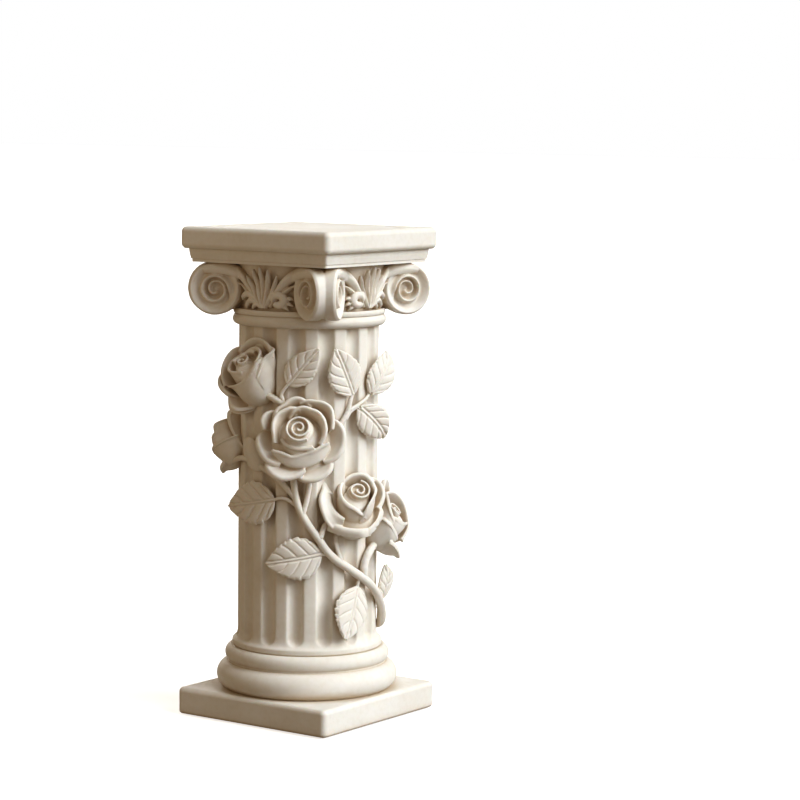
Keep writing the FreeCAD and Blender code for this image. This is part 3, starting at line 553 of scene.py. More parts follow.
# ------------------------------------------------------------------ roses
# Petals in the bloom's own frame as (angle, radius, height) in degrees and mm. The angle runs anticlockwise
# from the right, seen from in front of the bloom; the height runs along its axis from the root.
# bud: centre x, centre y, radius, height, turns, start angle
# cups: belly radius, belly height, root height, rim;  open: root height, root radius, rim, how far the lip rolls
BLOOMS = {
    "rose_large": {
        "thick": 3.0, "voxel": 0.82,
        "bud": (0.0, 2.5, 17.0, 39.5, 2.3, 200),
        "core": [(0.5, 31), (14, 31), (18, 26), (25, 20), (30, 13), (38, 5), (42, 1), (34, -9), (0.5, -9)],
        "cups": [
            (38, 10, 0, [(212, 39, 22), (226, 32, 21.5), (240, 29.5, 20.5), (256, 28.5, 19.2), (275, 25.5, 20.5), (292, 25, 21.5),
                         (310, 27, 22.5), (328, 30, 23), (345, 36, 23)]),
            (32, 16, 0, [(152, 36, 30), (138, 38.5, 34.5), (122, 38.2, 36.5), (105, 41, 38.5), (92, 40.8, 38), (78, 37, 35.5), (68, 33.5, 32)]),
            (33, 16, 0, [(92, 36, 34), (78, 38.5, 37.5), (64, 41, 38.8), (50, 45, 38.8), (38, 46.5, 37.5), (25, 43.5, 35), (6, 39, 30)]),
            (26, 16, 0, [(204, 32, 25), (188, 31, 30), (168, 32.5, 34), (148, 33.5, 36), (128, 31.5, 37), (108, 29.5, 37.2), (90, 26.5, 35.5)]),
            (25, 16, 0, [(126, 22, 28), (106, 26, 35.5), (86, 29, 38), (64, 29.5, 37.8), (46, 31.5, 37.4), (22, 32, 35.5), (-4, 31, 31), (-28, 27, 25)]),
            (21, 12, 0, [(200, 22, 28), (222, 21, 27), (243, 19.4, 26), (265, 19, 25.3), (285, 19.6, 25.3), (316, 24, 26)]),
        ],
        "open": [
            (10, 20, [(136, 42, 25), (146, 48.5, 27), (155, 51, 27), (163, 50.5, 25), (173, 45, 21)]),
            (0, 14, [(167, 42, 11), (177, 51, 13), (188, 54, 14), (198, 54.5, 14), (208, 54, 13), (220, 50, 11), (236, 42, 9)]),
            (-2, 14, [(214, 46, 5), (223, 56, 7), (234, 59, 8), (245, 58.5, 8.5), (256, 54.5, 8), (268, 49, 8), (281, 42, 9)]),
            (-4, 14, [(267, 48, 2), (278, 54, 4), (290, 56.5, 5), (302, 56.5, 5), (316, 54, 5), (329, 45, 4)]),
            (2, 16, [(30, 43, 21), (22, 49, 20.5), (13, 52.5, 19), (4, 54, 16), (-8, 54, 12), (-20, 53, 10), (-32, 49.5, 8), (-45, 42, 6)]),
        ],
    },
    "rose_upper": {
        "thick": 2.8, "voxel": 0.77, "roll": 0.75,
        "bud": (-7.0, -2.0, 10.5, 65.0, 1.5, 30),
        "core": [(0.5, 57), (16, 57), (22, 50), (24, 36), (22, 24), (17, 12), (11, 3), (9, -2), (0.5, -2)],
        "cups": [
            (22, 30, 4, [(140, 20, 60), (165, 24, 60), (190, 26, 59), (215, 26, 57), (245, 20, 57), (272, 17, 58)]),
            (17, 40, 4, [(190, 15, 60), (165, 15, 62), (135, 14.5, 64.5), (105, 14, 65), (78, 13, 64.5)]),
            (19, 36, 4, [(140, 18.5, 62), (110, 17.5, 66), (80, 18, 68), (50, 18.5, 67.5), (20, 18, 66), (-14, 16, 62)]),
            (27, 24, 2, [(202, 36, 28), (212, 35.5, 33), (224, 32, 37), (240, 28, 40), (262, 26, 45), (290, 23.5, 51), (322, 20.5, 58), (345, 19.5, 61)]),
            (26, 28, 2, [(-88, 20.5, 42), (-62, 20.5, 53), (-36, 20.5, 60), (-10, 21, 63), (14, 22, 64)]),
            (27, 30, 2, [(-34, 23, 48), (-10, 24, 58), (12, 26.5, 64), (30, 36, 66), (44, 32, 67), (64, 28, 65)]),
            (25, 40, 2, [(24, 33, 59), (38, 32, 67), (58, 29, 73.5), (80, 26.5, 76), (104, 24, 75.5), (128, 23.5, 71.5), (152, 25, 65)]),
            (30, 28, 2, [(134, 34, 62), (152, 37, 64), (168, 39, 62), (184, 42, 55), (200, 42, 47), (216, 39, 38)]),
        ],
        "open": [
            (8, 12, [(176, 40, 39), (190, 47, 43), (203, 49, 41), (216, 46, 36), (231, 39, 28)]),
            (3, 10, [(190, 40, 18), (200, 46, 14), (210, 47, 9), (222, 45, 5), (236, 38, 3), (250, 28, 2), (264, 16, 1)]),
            (4, 8, [(212, 38, 26), (224, 41, 22), (235, 43, 17), (245, 40, 12), (256, 30, 8), (270, 18, 5)]),
            (6, 12, [(20, 33, 34), (45, 38, 38), (70, 40, 40), (95, 40, 40), (122, 36, 36)]),
        ],
    },
    "rose_left": {
        "thick": 2.6, "voxel": 0.68,
        "laid": [[(-25, 338, 1.0), (-24, 330, 1.5), (-20, 318, 0.0)], [(-20, 349, 6.0), (-16, 335, 8.5), (-11.5, 315, 4.0)],
                 [(-12, 354, 8.0), (-8.5, 338, 11.0), (-5.5, 313, 4.5)], [(-6.5, 350, 6.0), (-3.5, 336, 8.0), (-1.5, 314, 2.5)],
                 [(-4.0, 342, 1.0), (-1.0, 333, 1.5), (0.5, 320, 0.0)]],
        "bud": (2.0, 2.0, 8.5, 50.0, 1.8, 60),
        "core": [(0.5, 36), (10, 36), (16, 26), (19, 14), (16, 5), (10, -2), (0.5, -2)],
        "cups": [
            (24, 13, 0, [(42, 29, 20), (28, 27, 25), (10, 23, 31), (-10, 19.5, 35), (-30, 18.5, 38), (-56, 18.5, 39), (-76, 20, 33), (-92, 22, 24)]),
            (21, 24, 0, [(98, 24, 43), (78, 21, 48), (60, 17, 52), (44, 15, 53.5), (28, 14, 51), (12, 13, 46)]),
            (20, 22, 0, [(32, 14, 45), (12, 14.5, 47), (-6, 15, 47), (-22, 15.5, 44), (-40, 16, 39)]),
            (22, 24, 0, [(86, 24, 44), (130, 22, 48), (170, 20, 48), (210, 20, 46), (250, 20, 42), (278, 20, 36)]),
        ],
        "open": [
            (0, 12, [(28, 24, 3), (34, 26, 14), (44, 28.5, 27), (56, 30.5, 37), (68, 32.5, 44), (83, 35.5, 48), (99, 38, 43), (115, 38, 36), (132, 35, 28)]),
            (-2, 9, [(-104, 26, 12), (-90, 32, 14), (-77, 34, 14), (-62, 32, 17), (-46, 26, 17)]),
            (0, 10, [(146, 32, 18), (180, 36, 18), (212, 34, 16), (246, 28, 13)]),
        ],
    },
    "rose_lower": {
        "thick": 3.0, "voxel": 0.78, "roll": 1.35,
        "bud": (5.0, 9.0, 14.0, 51.0, 1.9, 110),
        "core": [(0.5, 42), (15, 42), (20, 32), (24, 24), (30, 18), (36, 12), (30, -2), (0.5, -4)],
        "cups": [
            (22, 22, 0, [(124, 24, 49), (150, 20.5, 51.5), (183, 18.5, 51), (225, 16.5, 48.5), (258, 15.5, 45), (286, 18.5, 38), (302, 20.5, 30)]),
            (23, 22, 0, [(40, 27, 49), (10, 25.5, 51), (-16, 22.5, 50.5), (-42, 20.5, 47.5), (-60, 20, 41), (-80, 20.5, 30)]),
            (24, 26, 0, [(16, 26, 47), (45, 29, 52), (67, 31, 53), (88, 29, 52.5), (108, 26, 51), (134, 23, 46)]),
            (28, 38, 0, [(118, 36, 44), (128, 40, 47), (140, 43, 47.5), (151, 41.5, 46), (162, 39, 44)]),
            (29, 35, 0, [(150, 38, 43), (162, 39.5, 45), (178, 42, 44), (190, 42.5, 41), (201, 42.7, 37.5), (212, 42.5, 32), (224, 40.5, 26), (238, 36, 14)]),
        ],
        "open": [
            (3, 16, [(206, 38, 14), (219, 40.5, 24), (234, 39.5, 27), (250, 38, 27), (266, 37.5, 27), (280, 37.5, 26), (293, 36, 22), (306, 31, 12)], 3.0),
            (2, 16, [(280, 31, 12), (295, 36.5, 22), (310, 38.5, 25), (324, 39, 26), (338, 37.5, 27), (350, 36, 27), (362, 32, 25)], 2.4),
            (4, 16, [(-8, 31, 28), (8, 38, 31), (20, 43, 33), (34, 47, 35), (46, 48, 36), (60, 44, 35)]),
            (6, 16, [(46, 42, 36), (60, 44, 40), (72, 45, 42), (84, 45, 42), (95, 43.5, 40), (106, 42, 37), (120, 38, 33)]),
        ],
    },
    "rose_right": {
        "thick": 2.7, "voxel": 0.7,
        "bud": (0.0, 3.0, 11.5, 57.0, 1.6, 20),
        "core": [(0.5, 49), (14, 49), (20, 40), (22, 24), (18, 10), (11, 0), (0.5, 0)],
        "cups": [
            (24, 16, 0, [(148, 22, 37), (170, 22.5, 41), (186, 23, 42), (199, 23.5, 43), (212, 25, 43.5), (224, 27, 43), (234, 28.5, 41), (244, 30, 36)]),
            (25, 26, 0, [(97, 25, 61), (70, 23, 65), (40, 22, 65), (10, 21, 62), (-24, 20.5, 56), (-42, 23, 51), (-56, 26, 47), (-70, 27, 40), (-84, 27, 31)]),
            (24, 24, 0, [(84, 25, 59), (105, 23, 61.5), (128, 20.5, 60), (152, 19, 56), (178, 18, 52), (205, 17, 49)]),
            (19, 26, 0, [(190, 15, 50), (215, 16, 53), (240, 18, 54), (265, 19.5, 53), (295, 20, 51)]),
        ],
        "open": [
            (6, 12, [(52, 29, 54), (68, 34, 66), (83, 37.5, 72), (98, 38.5, 72.5), (112, 37, 69), (124, 34, 62), (136, 29, 52)]),
            (0, 10, [(226, 28, 24), (238, 36, 28), (250, 40, 26), (262, 41, 18), (274, 38, 12), (288, 30, 9)]),
            (4, 12, [(-64, 32, 28), (-30, 36, 32), (0, 36, 34), (30, 36, 38), (58, 32, 41)]),
        ],
    },
}


def polar(row, n):
    """n Cartesian points along a curve given as (angle, radius, height)."""
    c = spline(row, n)
    t = np.radians(c[:, 0])
    return np.stack([c[:, 1] * np.cos(t), c[:, 1] * np.sin(t), c[:, 2]], -1)


def loft(rows, thick, nu=43, nv=27):
    grid = np.array([polar(r, nu) for r in rows]).reshape(len(rows), -1)
    P = spline(grid, nv).reshape(nv, nu, 3).transpose(1, 0, 2)
    v = np.linspace(0, 1, nv)[None, :]
    th = thick * (1.2 - 0.35 * v) * np.ones((nu, 1))
    return thick_patch(P, th / 2, th / 2)


def cup(spec, thick, roll=1.0):
    rb, zb, z0, rim = spec
    m = 0.5 * (rim[0][0] + rim[-1][0])
    return loft([
        [(m + (a - m) * 0.50, 9.0, z0 - 1.0) for a, r, z in rim],
        [(m + (a - m) * 0.80, 9.0 + (rb - 9.0) * 0.74, z0 + (zb - z0) * 0.36) for a, r, z in rim],
        [(m + (a - m) * 0.96, rb, zb) for a, r, z in rim],
        [(a, rb * 0.42 + r * 0.58 + 0.5, zb + (z - zb) * 0.62) for a, r, z in rim],
        [(a, r + 0.2, z - 0.2) for a, r, z in rim],
        [(a, r + 1.8 * roll, z - 0.2) for a, r, z in rim],
        [(a, r + 2.8 * roll, z - 1.8 * roll) for a, r, z in rim],
    ], thick)


def spread(spec, thick, roll=1.0):
    z0, r0, rim = spec
    m = 0.5 * (rim[0][0] + rim[-1][0])
    return loft([
        [(m + (a - m) * 0.40, r0, z0) for a, r, z in rim],
        [(m + (a - m) * 0.76, r0 + (r - r0) * 0.50, z0 + (z - z0) * 0.30) for a, r, z in rim],
        [(m + (a - m) * 0.95, r0 + (r - r0) * 0.82, z0 + (z - z0) * 0.80) for a, r, z in rim],
        [(a, r - 1.6, z + 0.6) for a, r, z in rim],
        [(a, r + 0.6 * roll, z - 0.4 * roll) for a, r, z in rim],
        [(a, r + 1.4 * roll, z - 2.6 * roll) for a, r, z in rim],
    ], thick)


def bud(spec, thick):
    cx, cy, r, z, turns, start = spec
    n = int(50 * turns)
    f = np.linspace(0, 1, n)
    ang = math.radians(start) + f * turns * 2 * math.pi
    rad = 1.0 + (r - 1.0) * f ** 0.85
    top = z - 1.4 * (1 - f) ** 1.5 + 0.5 * np.sin(2 * ang)
    v = np.linspace(0, 1, 10)[None, :]
    rr = rad[:, None] * (0.97 + 0.05 * v)
    zz = (z - 12.0) + (top[:, None] - z + 12.0) * v
    P = np.stack([cx + rr * np.cos(ang)[:, None], cy + rr * np.sin(ang)[:, None], zz], -1)
    wall = thick_patch(P, thick * 0.42, thick * 0.42)
    V, F = lathe([(0.3, z - 7.0), (r * 0.55, z - 6.6), (r * 0.92, z - 6.8), (r + 0.5, z - 9.5), (r + 1.5, z * 0.5), (r * 0.8, 2.0), (0.3, 2.0)], 48)
    return [wall, (V + np.array([cx, cy, 0.0]), F), ball((cx, cy, z - 7.0), (2.5, 2.5, 2.5))]


def in_box(V):
    """Ease the outermost points back inside the plinth's width."""
    V = np.array(V)
    for k in (0, 1):
        over = np.abs(V[:, k]) - 110.0
        V[:, k] = np.where(over > 0, np.sign(V[:, k]) * (110.0 + 6.6 * (1 - np.exp(-np.maximum(over, 0) / 6.6))), V[:, k])
    return V


def rose(name):
    a, z, r, face_a, tilt = ROSES[name]
    b = BLOOMS[name]
    parts = [lathe(b["core"], 64)] + bud(b["bud"], b["thick"])
    roll = b.get("roll", 1.0)
    parts += [cup(s, b["thick"], roll) for s in b["cups"]] + [spread(s[:3], b["thick"] * 1.1, s[3] if len(s) > 3 else roll) for s in b["open"]]
    ax = unit(at(face_a, math.cos(math.radians(tilt)), math.sin(math.radians(tilt))))
    side = unit(np.cross((0, 0, 1), ax))
    up = np.cross(ax, side)
    parts = [move(p, [side, up, ax], at(a, r, z)) for p in parts]
    if "laid" in b:  # a petal that lies along the shaft, as (A, z, lift)
        grid = np.array([spline(row, 31) for row in b["laid"]]).reshape(len(b["laid"]), -1)
        G = spline(grid, 23).reshape(23, 31, 3)
        parts.append(thick_patch(at(G[..., 0], SHAFT_R + G[..., 2], G[..., 1]), 1.4, 1.6))
        # its root, inside the stem that carries the bloom
        p = spline([(-8, 322, 1.5), (-12, 324, 1.5), (-28, 325, 3.0), (-45, 314, 9.0)], 60)
        parts.append(tube(at(p[:, 0], SHAFT_R + 2.4 + p[:, 2], p[:, 1]), np.full(60, 2.5), 14))
    parts = [(in_box(V), F) for V, F in parts]
    ob = fuse(name + "_bloom", parts, voxel=b["voxel"], smooth=4, factor=0.5)
    return piece(ob, MAT_ORN, "cast_ornament", name)


for name in ROSES:
    rose(name)


# ------------------------------------------------------------------ stems
def stem_path(points, base_lift, n):
    p = spline(points, n)
    return at(p[:, 0], SHAFT_R + base_lift + p[:, 2], p[:, 1])


for name, (r0, r1, pts) in STEMS.items():
    n = 26 * (len(pts) - 1)
    f = np.linspace(0, 1, n)
    rad = r0 + (r1 - r0) * f
    rng = np.random.RandomState(len(name) * 7)
    rad = rad * (1 + 0.035 * np.sin(f * 23 + rng.uniform(0, 6)) + 0.02 * np.sin(f * 61 + 1.0))
    if name == "stem_right_rose":  # grows out of the side of the vine
        rad = rad * (1 - 0.45 * (1 - smoothstep(0.0, 0.32, f)))
    path = stem_path(pts, r0 * 0.62, n)
    ob = make(name + "_cast", *tube(path, rad, 22))
    piece(ob, MAT_ORN, "cast_ornament", name)


# ------------------------------------------------------------------ leaves
def leaf_surface(spec, s, t, teeth):
    base_a, base_z, tip_a, tip_z, width, lift_tip, edge_rise = spec
    ub, vb = base_a * TURN, base_z
    du, dv = (tip_a - base_a) * TURN, tip_z - base_z
    long = math.hypot(du, dv)
    eu, ev = du / long, dv / long
    w = width / 2 * (np.sin(math.pi * np.minimum(1.0, s ** 0.80)) ** 0.78 * (1.0 - 0.14 * s) + 0.02)
    # saw teeth along the edge, each leaning to the tip
    n, shift = teeth
    saw = (s * n + shift + 0.35 * np.sin(s * 9.0 + shift * 5) + 0.3 * (t > 0)) % 1.0
    w = w * (1 - 0.09 * saw ** 1.3 * smoothstep(0.66, 1.0, np.abs(t)) * smoothstep(0.05, 0.2, s) * (1 - smoothstep(0.9, 1.0, s)))
    u = ub + du * s - ev * (w * t)
    v = vb + dv * s + eu * (w * t)
    lift = 1.4 + 2.6 * s + (lift_tip - 3.6) * s ** 2.2
    side = math.copysign(1.0, edge_rise)
    lift = lift + abs(edge_rise) * (1 + side * t) / 2 * np.sin(math.pi * np.minimum(1.0, 0.08 + 0.84 * s)) ** 0.8
    # hollow along the midrib, edges curling back towards the shaft
    arch = np.sin(math.pi * np.clip(s, 0, 1))
    lift = lift + 1.2 + 3.4 * np.abs(t) * arch - 3.0 * np.abs(t) ** 2.6 * arch
    return at(u / TURN, SHAFT_R + lift, v), w


def leaf(name, seed, veins=4.2, depth=0.95, groove=1.2):
    spec = LEAVES[name]
    rng = np.random.RandomState(seed)
    ns, nt = 141, 71
    s = np.linspace(0.0, 1.0, ns)[:, None] * np.ones((1, nt))
    t = np.linspace(-1.0, 1.0, nt)[None, :] * np.ones((ns, 1))
    P, w = leaf_surface(spec, s, t, (9, rng.uniform(0, 1)))
    # relief on the front: a midrib in its groove, side veins sweeping to the tip, the skin swelling between them
    x = np.abs(t) * w
    relief = 0.7 * np.exp(-(x / 1.2) ** 2) - 1.15 * np.exp(-((x - 2.2) / 1.2) ** 2)
    at_vein = s - (0.34 + 0.03 * np.sign(t)) * np.abs(t) ** 1.2 * (1 - 0.25 * s)
    phase = at_vein * veins * 1.1 + 0.2 + 0.12 * np.sign(t)
    off = np.abs((phase + 0.5) % 1.0 - 0.5)
    near = off / (veins * 1.1) * math.hypot((spec[2] - spec[0]) * TURN, spec[3] - spec[1])
    fade = smoothstep(0.05, 0.22, np.abs(t)) * (1 - smoothstep(0.84, 1.0, np.abs(t))) * smoothstep(0.03, 0.12, s) * (1 - smoothstep(0.88, 0.99, s))
    relief = relief + fade * (0.4 * np.sin(math.pi * off) ** 0.8 - depth * np.exp(-(near / groove) ** 2))
    edge = smoothstep(0.80, 1.0, np.abs(t))
    thick = 2.3 - 1.1 * edge - 0.6 * smoothstep(0.8, 1.0, s)
    V, F = thick_patch(P, np.clip(thick + relief, 0.35, None), np.full((ns, nt), 1.7))
    stalk = spline([(a, z, 0) for a, z in STALKS[name]], 40)
    path = at(stalk[:, 0], SHAFT_R + 2.2 + 0.9, stalk[:, 1])
    parts = [(V, F), tube(path, np.linspace(2.8, 1.6, 40), 14)]
    ob = fuse(name + "_cast", parts, voxel=0.55, smooth=2, factor=0.5)
    return piece(ob, MAT_ORN, "cast_ornament", name)


for k, name in enumerate(LEAVES):
    if name == "leaf_mid_left":
        leaf(name, 100 + k, depth=1.9, groove=1.9)
    else:
        leaf(name, 100 + k)


# ------------------------------------------------------------------ capital
DISC_R = 32.4
DISC_X = 71.0
DISC_DEPTH = 102.5
LEAN = math.radians(26.0)


def close_grid(P, Q):
    """Closed shell between a front and a back grid of the same size."""
    n, m = P.shape[:2]
    k = n * m
    faces = [grid_faces(n, m), grid_faces(n, m, k, True)]
    edge = list(range(m)) + [i * m + m - 1 for i in range(1, n)] + [(n - 1) * m + j for j in range(m - 2, -1, -1)] + [i * m for i in range(n - 2, 0, -1)]
    e = np.array(edge)
    e2 = np.roll(e, -1)
    faces.append(np.stack([e, e2, e2 + k, e + k], -1))
    return np.vstack([P.reshape(-1, 3), Q.reshape(-1, 3)]), np.vstack(faces)


def frond(points, half, rise, back=3.5, spine=1.0, n=44, m=13):
    """Curved tapering blade: points as (x, z, out), half widths per point; spine 1 gives a keel, 0 a round back."""
    c = spline(points, n)
    f = np.linspace(0, 1, n)
    half = np.interp(f, np.linspace(0, 1, len(half)), half)
    t = unit(np.gradient(c[:, :2], axis=0))
    side = np.stack([-t[:, 1], t[:, 0]], -1)
    x = np.linspace(-1, 1, m)
    P = np.zeros((n, m, 3))
    P[..., :2] = c[:, None, :2] + side[:, None, :] * (half[:, None] * x[None, :])[..., None]
    shape = spine * (1 - np.abs(x)) + (1 - spine) * np.sqrt(np.clip(1 - x * x, 0, 1))
    tall = rise * np.minimum(1.0, half / max(half.max(), 1e-6) * 1.6)
    P[..., 2] = c[:, None, 2] + tall[:, None] * shape[None, :]
    Q = P.copy()
    Q[..., 2] = c[:, None, 2] - back
    return close_grid(P, Q)


def scroll_disc():
    """Scroll face in local (p, q, n): p towards the corner, q up, n out of the face."""
    nr, na = 90, 220
    r = np.linspace(0.0005, 1.0, nr)[None, :] * DISC_R
    th = np.linspace(0, 2 * math.pi, na, endpoint=False)[:, None]
    R = r * np.ones_like(th)
    # spiral ridge, from the face-centre side over the top and round
    psi0 = (math.pi - th) % (2 * math.pi)
    knots = np.radians([-70, -35, 0, 45, 90, 180, 270, 330, 390, 450, 540, 630, 700])
    radii = [25.0, 21.5, 18.6, 16.8, 16.0, 15.4, 15.0, 14.0, 12.0, 9.6, 7.0, 5.2, 3.6]
    ridge = np.zeros_like(R)
    for turn in range(-1, 3):
        psi = psi0 + 2 * math.pi * turn
        rc = np.interp(psi, knots, radii)
        live = smoothstep(-0.75, 0.15, psi) * (1 - smoothstep(11.2, 12.2, psi))
        wid = np.where(R > rc, 3.3, 2.6) * (1 - 0.22 * smoothstep(5.0, 7.0, psi))
        ridge = np.maximum(ridge, live * (10.5 - 2.5 * smoothstep(5.5, 8.0, psi)) * np.exp(-np.abs((R - rc) / wid) ** 2.0))
    bowl = -10.5 * (1 - smoothstep(15.5, 31.8, R))
    knob = 2.4 * np.exp(-(R / 3.0) ** 2)
    shoulder = -3.2 * smoothstep(29.0, DISC_R, R) ** 2
    front = np.stack([R * np.cos(th), R * np.sin(th), bowl + ridge + knob + shoulder], -1)
    back = front.copy()
    back[..., 2] = -17.0
    V = np.concatenate([front, back[:, ::-1]], 1)
    m = 2 * nr
    i = np.arange(na)[:, None]
    j = np.arange(m - 1)[None, :]
    i2 = (i + 1) % na
    F = np.stack([i * m + j, i2 * m + j, i2 * m + j + 1, i * m + j + 1], -1).reshape(-1, 4).tolist()
    F.append(list(range(0, na * m, m))[::-1])
    F.append(list(range(m - 1, na * m, m)))
    return V.reshape(-1, 3), F


def face_place(V):
    """Local (p, q, n) on the front face of the right corner to the row frame; past the scroll it follows the bell."""
    p, q, n = V[..., 0], V[..., 1], V[..., 2]
    cl, sl = math.cos(LEAN), math.sin(LEAN)
    x = DISC_X + p * cl
    flat = DISC_DEPTH + p * sl
    bell = np.interp(VOLUTE_Z + q, [512, 541, 569.7], [88.0, 89.5, 95.0])
    round_ = np.sqrt(np.clip(bell ** 2 - np.clip(x, -80, 80) ** 2, 0, None)) + 7.0
    free = smoothstep(-22.0, -34.0, p)
    depth = flat * (1 - free) + np.maximum(flat, round_) * free
    return np.stack([x - n * sl * (1 - free), -depth - n * (cl * (1 - free) + free), VOLUTE_Z + q], -1)


def volute(name, quarter):
    """Corner at +X -Y turned by quarters: two scroll faces, the roll between them and the sweeping bands."""
    local = [scroll_disc()]
    # crescent from the top of the scroll down to the root of the leaf fan
    horn = [(14, 24.0, -5.0), (2, 25.5, -4.0), (-12, 25.5, -3.0), (-26, 22.5, -2.0), (-40, 15.0, -1.5), (-53, 4.0, -2.0), (-64, -8.0, -3.0), (-72, -19.0, -4.0)]
    local.append(frond(horn, [5.0, 7.0, 7.8, 7.4, 5.8, 4.2, 2.8, 1.4], 4.6, 7.0, 0.25))
    # pointed leaf under it, its tip against the scroll
    thorn = [(-29.0, 9.0, -2.0), (-38, 5.0, -2.0), (-50, -3.0, -2.5), (-61, -12.0, -3.0), (-69, -20, -4.0)]
    local.append(frond(thorn, [0.5, 2.2, 3.0, 2.4, 1.2], 3.6, 6.0, 0.8))
    parts = []
    for V, F in local:
        W = face_place(np.asarray(V))
        parts.append((W, F))
        M = np.stack([-W[:, 1], -W[:, 0], W[:, 2]], -1)
        parts.append((M, F))
    # the roll across the corner, with a shallow channel round its middle
    na, ns = 120, 17
    th = np.linspace(0, 2 * math.pi, na, endpoint=False)
    s = np.linspace(0, 1, ns)
    rim = face_place(np.stack([0.975 * DISC_R * np.cos(th), 0.975 * DISC_R * np.sin(th), np.full(na, -14.5)], -1))
    far = np.stack([-rim[:, 1], -rim[:, 0], rim[:, 2]], -1)
    G = rim[:, None] * (1 - s)[None, :, None] + far[:, None] * s[None, :, None]
    mid = face_place(np.array([[0.0, 0.0, -14.5]]))[0]
    mid2 = np.array([-mid[1], -mid[0], mid[2]])
    axis = mid[None] * (1 - s)[:, None] + mid2[None] * s[:, None]
    waist = 1 - 0.045 * np.sin(math.pi * s) ** 1.5
    G = axis[None] + (G - axis[None]) * waist[None, :, None]
    i = np.arange(na)[:, None]
    j = np.arange(ns - 1)[None, :]
    i2 = (i + 1) % na
    F = np.stack([i * ns + j, i2 * ns + j, i2 * ns + j + 1, i * ns + j + 1], -1).reshape(-1, 4).tolist()
    F.append(list(range(0, na * ns, ns))[::-1])
    F.append(list(range(ns - 1, na * ns, ns)))
    parts.append((G.reshape(-1, 3), F))
    # the web behind the roll that joins the corner to the bell
    th, ph = np.meshgrid(np.linspace(0, 2 * math.pi, 48, endpoint=False), np.linspace(0.02, math.pi - 0.02, 24), indexing="ij")
    d, c, h = 24.0 * np.sin(ph) * np.cos(th), 20.0 * np.sin(ph) * np.sin(th), 29.0 * np.cos(ph)
    W = np.stack([(94.0 + d + c) * math.sqrt(0.5), -(94.0 + d - c) * math.sqrt(0.5), 538.0 + h], -1)
    i = np.arange(48)[:, None]
    j = np.arange(23)[None, :]
    i2 = (i + 1) % 48
    F = np.stack([i * 24 + j, i * 24 + j + 1, i2 * 24 + j + 1, i2 * 24 + j], -1).reshape(-1, 4).tolist()
    F.append(list(range(0, 48 * 24, 24)))
    F.append(list(range(23, 48 * 24, 24))[::-1])
    parts.append((W.reshape(-1, 3), F))
    ang = math.radians(90 * quarter)
    rot = np.array([[math.cos(ang), math.sin(ang), 0], [-math.sin(ang), math.cos(ang), 0], [0, 0, 1]])
    parts = [(np.clip(np.asarray(V), [-116, -116, 0], [116, 116, 568.8]) @ rot, F) for V, F in parts]
    ob = fuse(name + "_cast", parts, voxel=0.72, smooth=2, factor=0.5)
    return piece(ob, MAT_STONE, "cast_stone", name)


for k, name in enumerate(("volute_front_right", "volute_back_right", "volute_back_left", "volute_front_left")):
    volute(name, k)


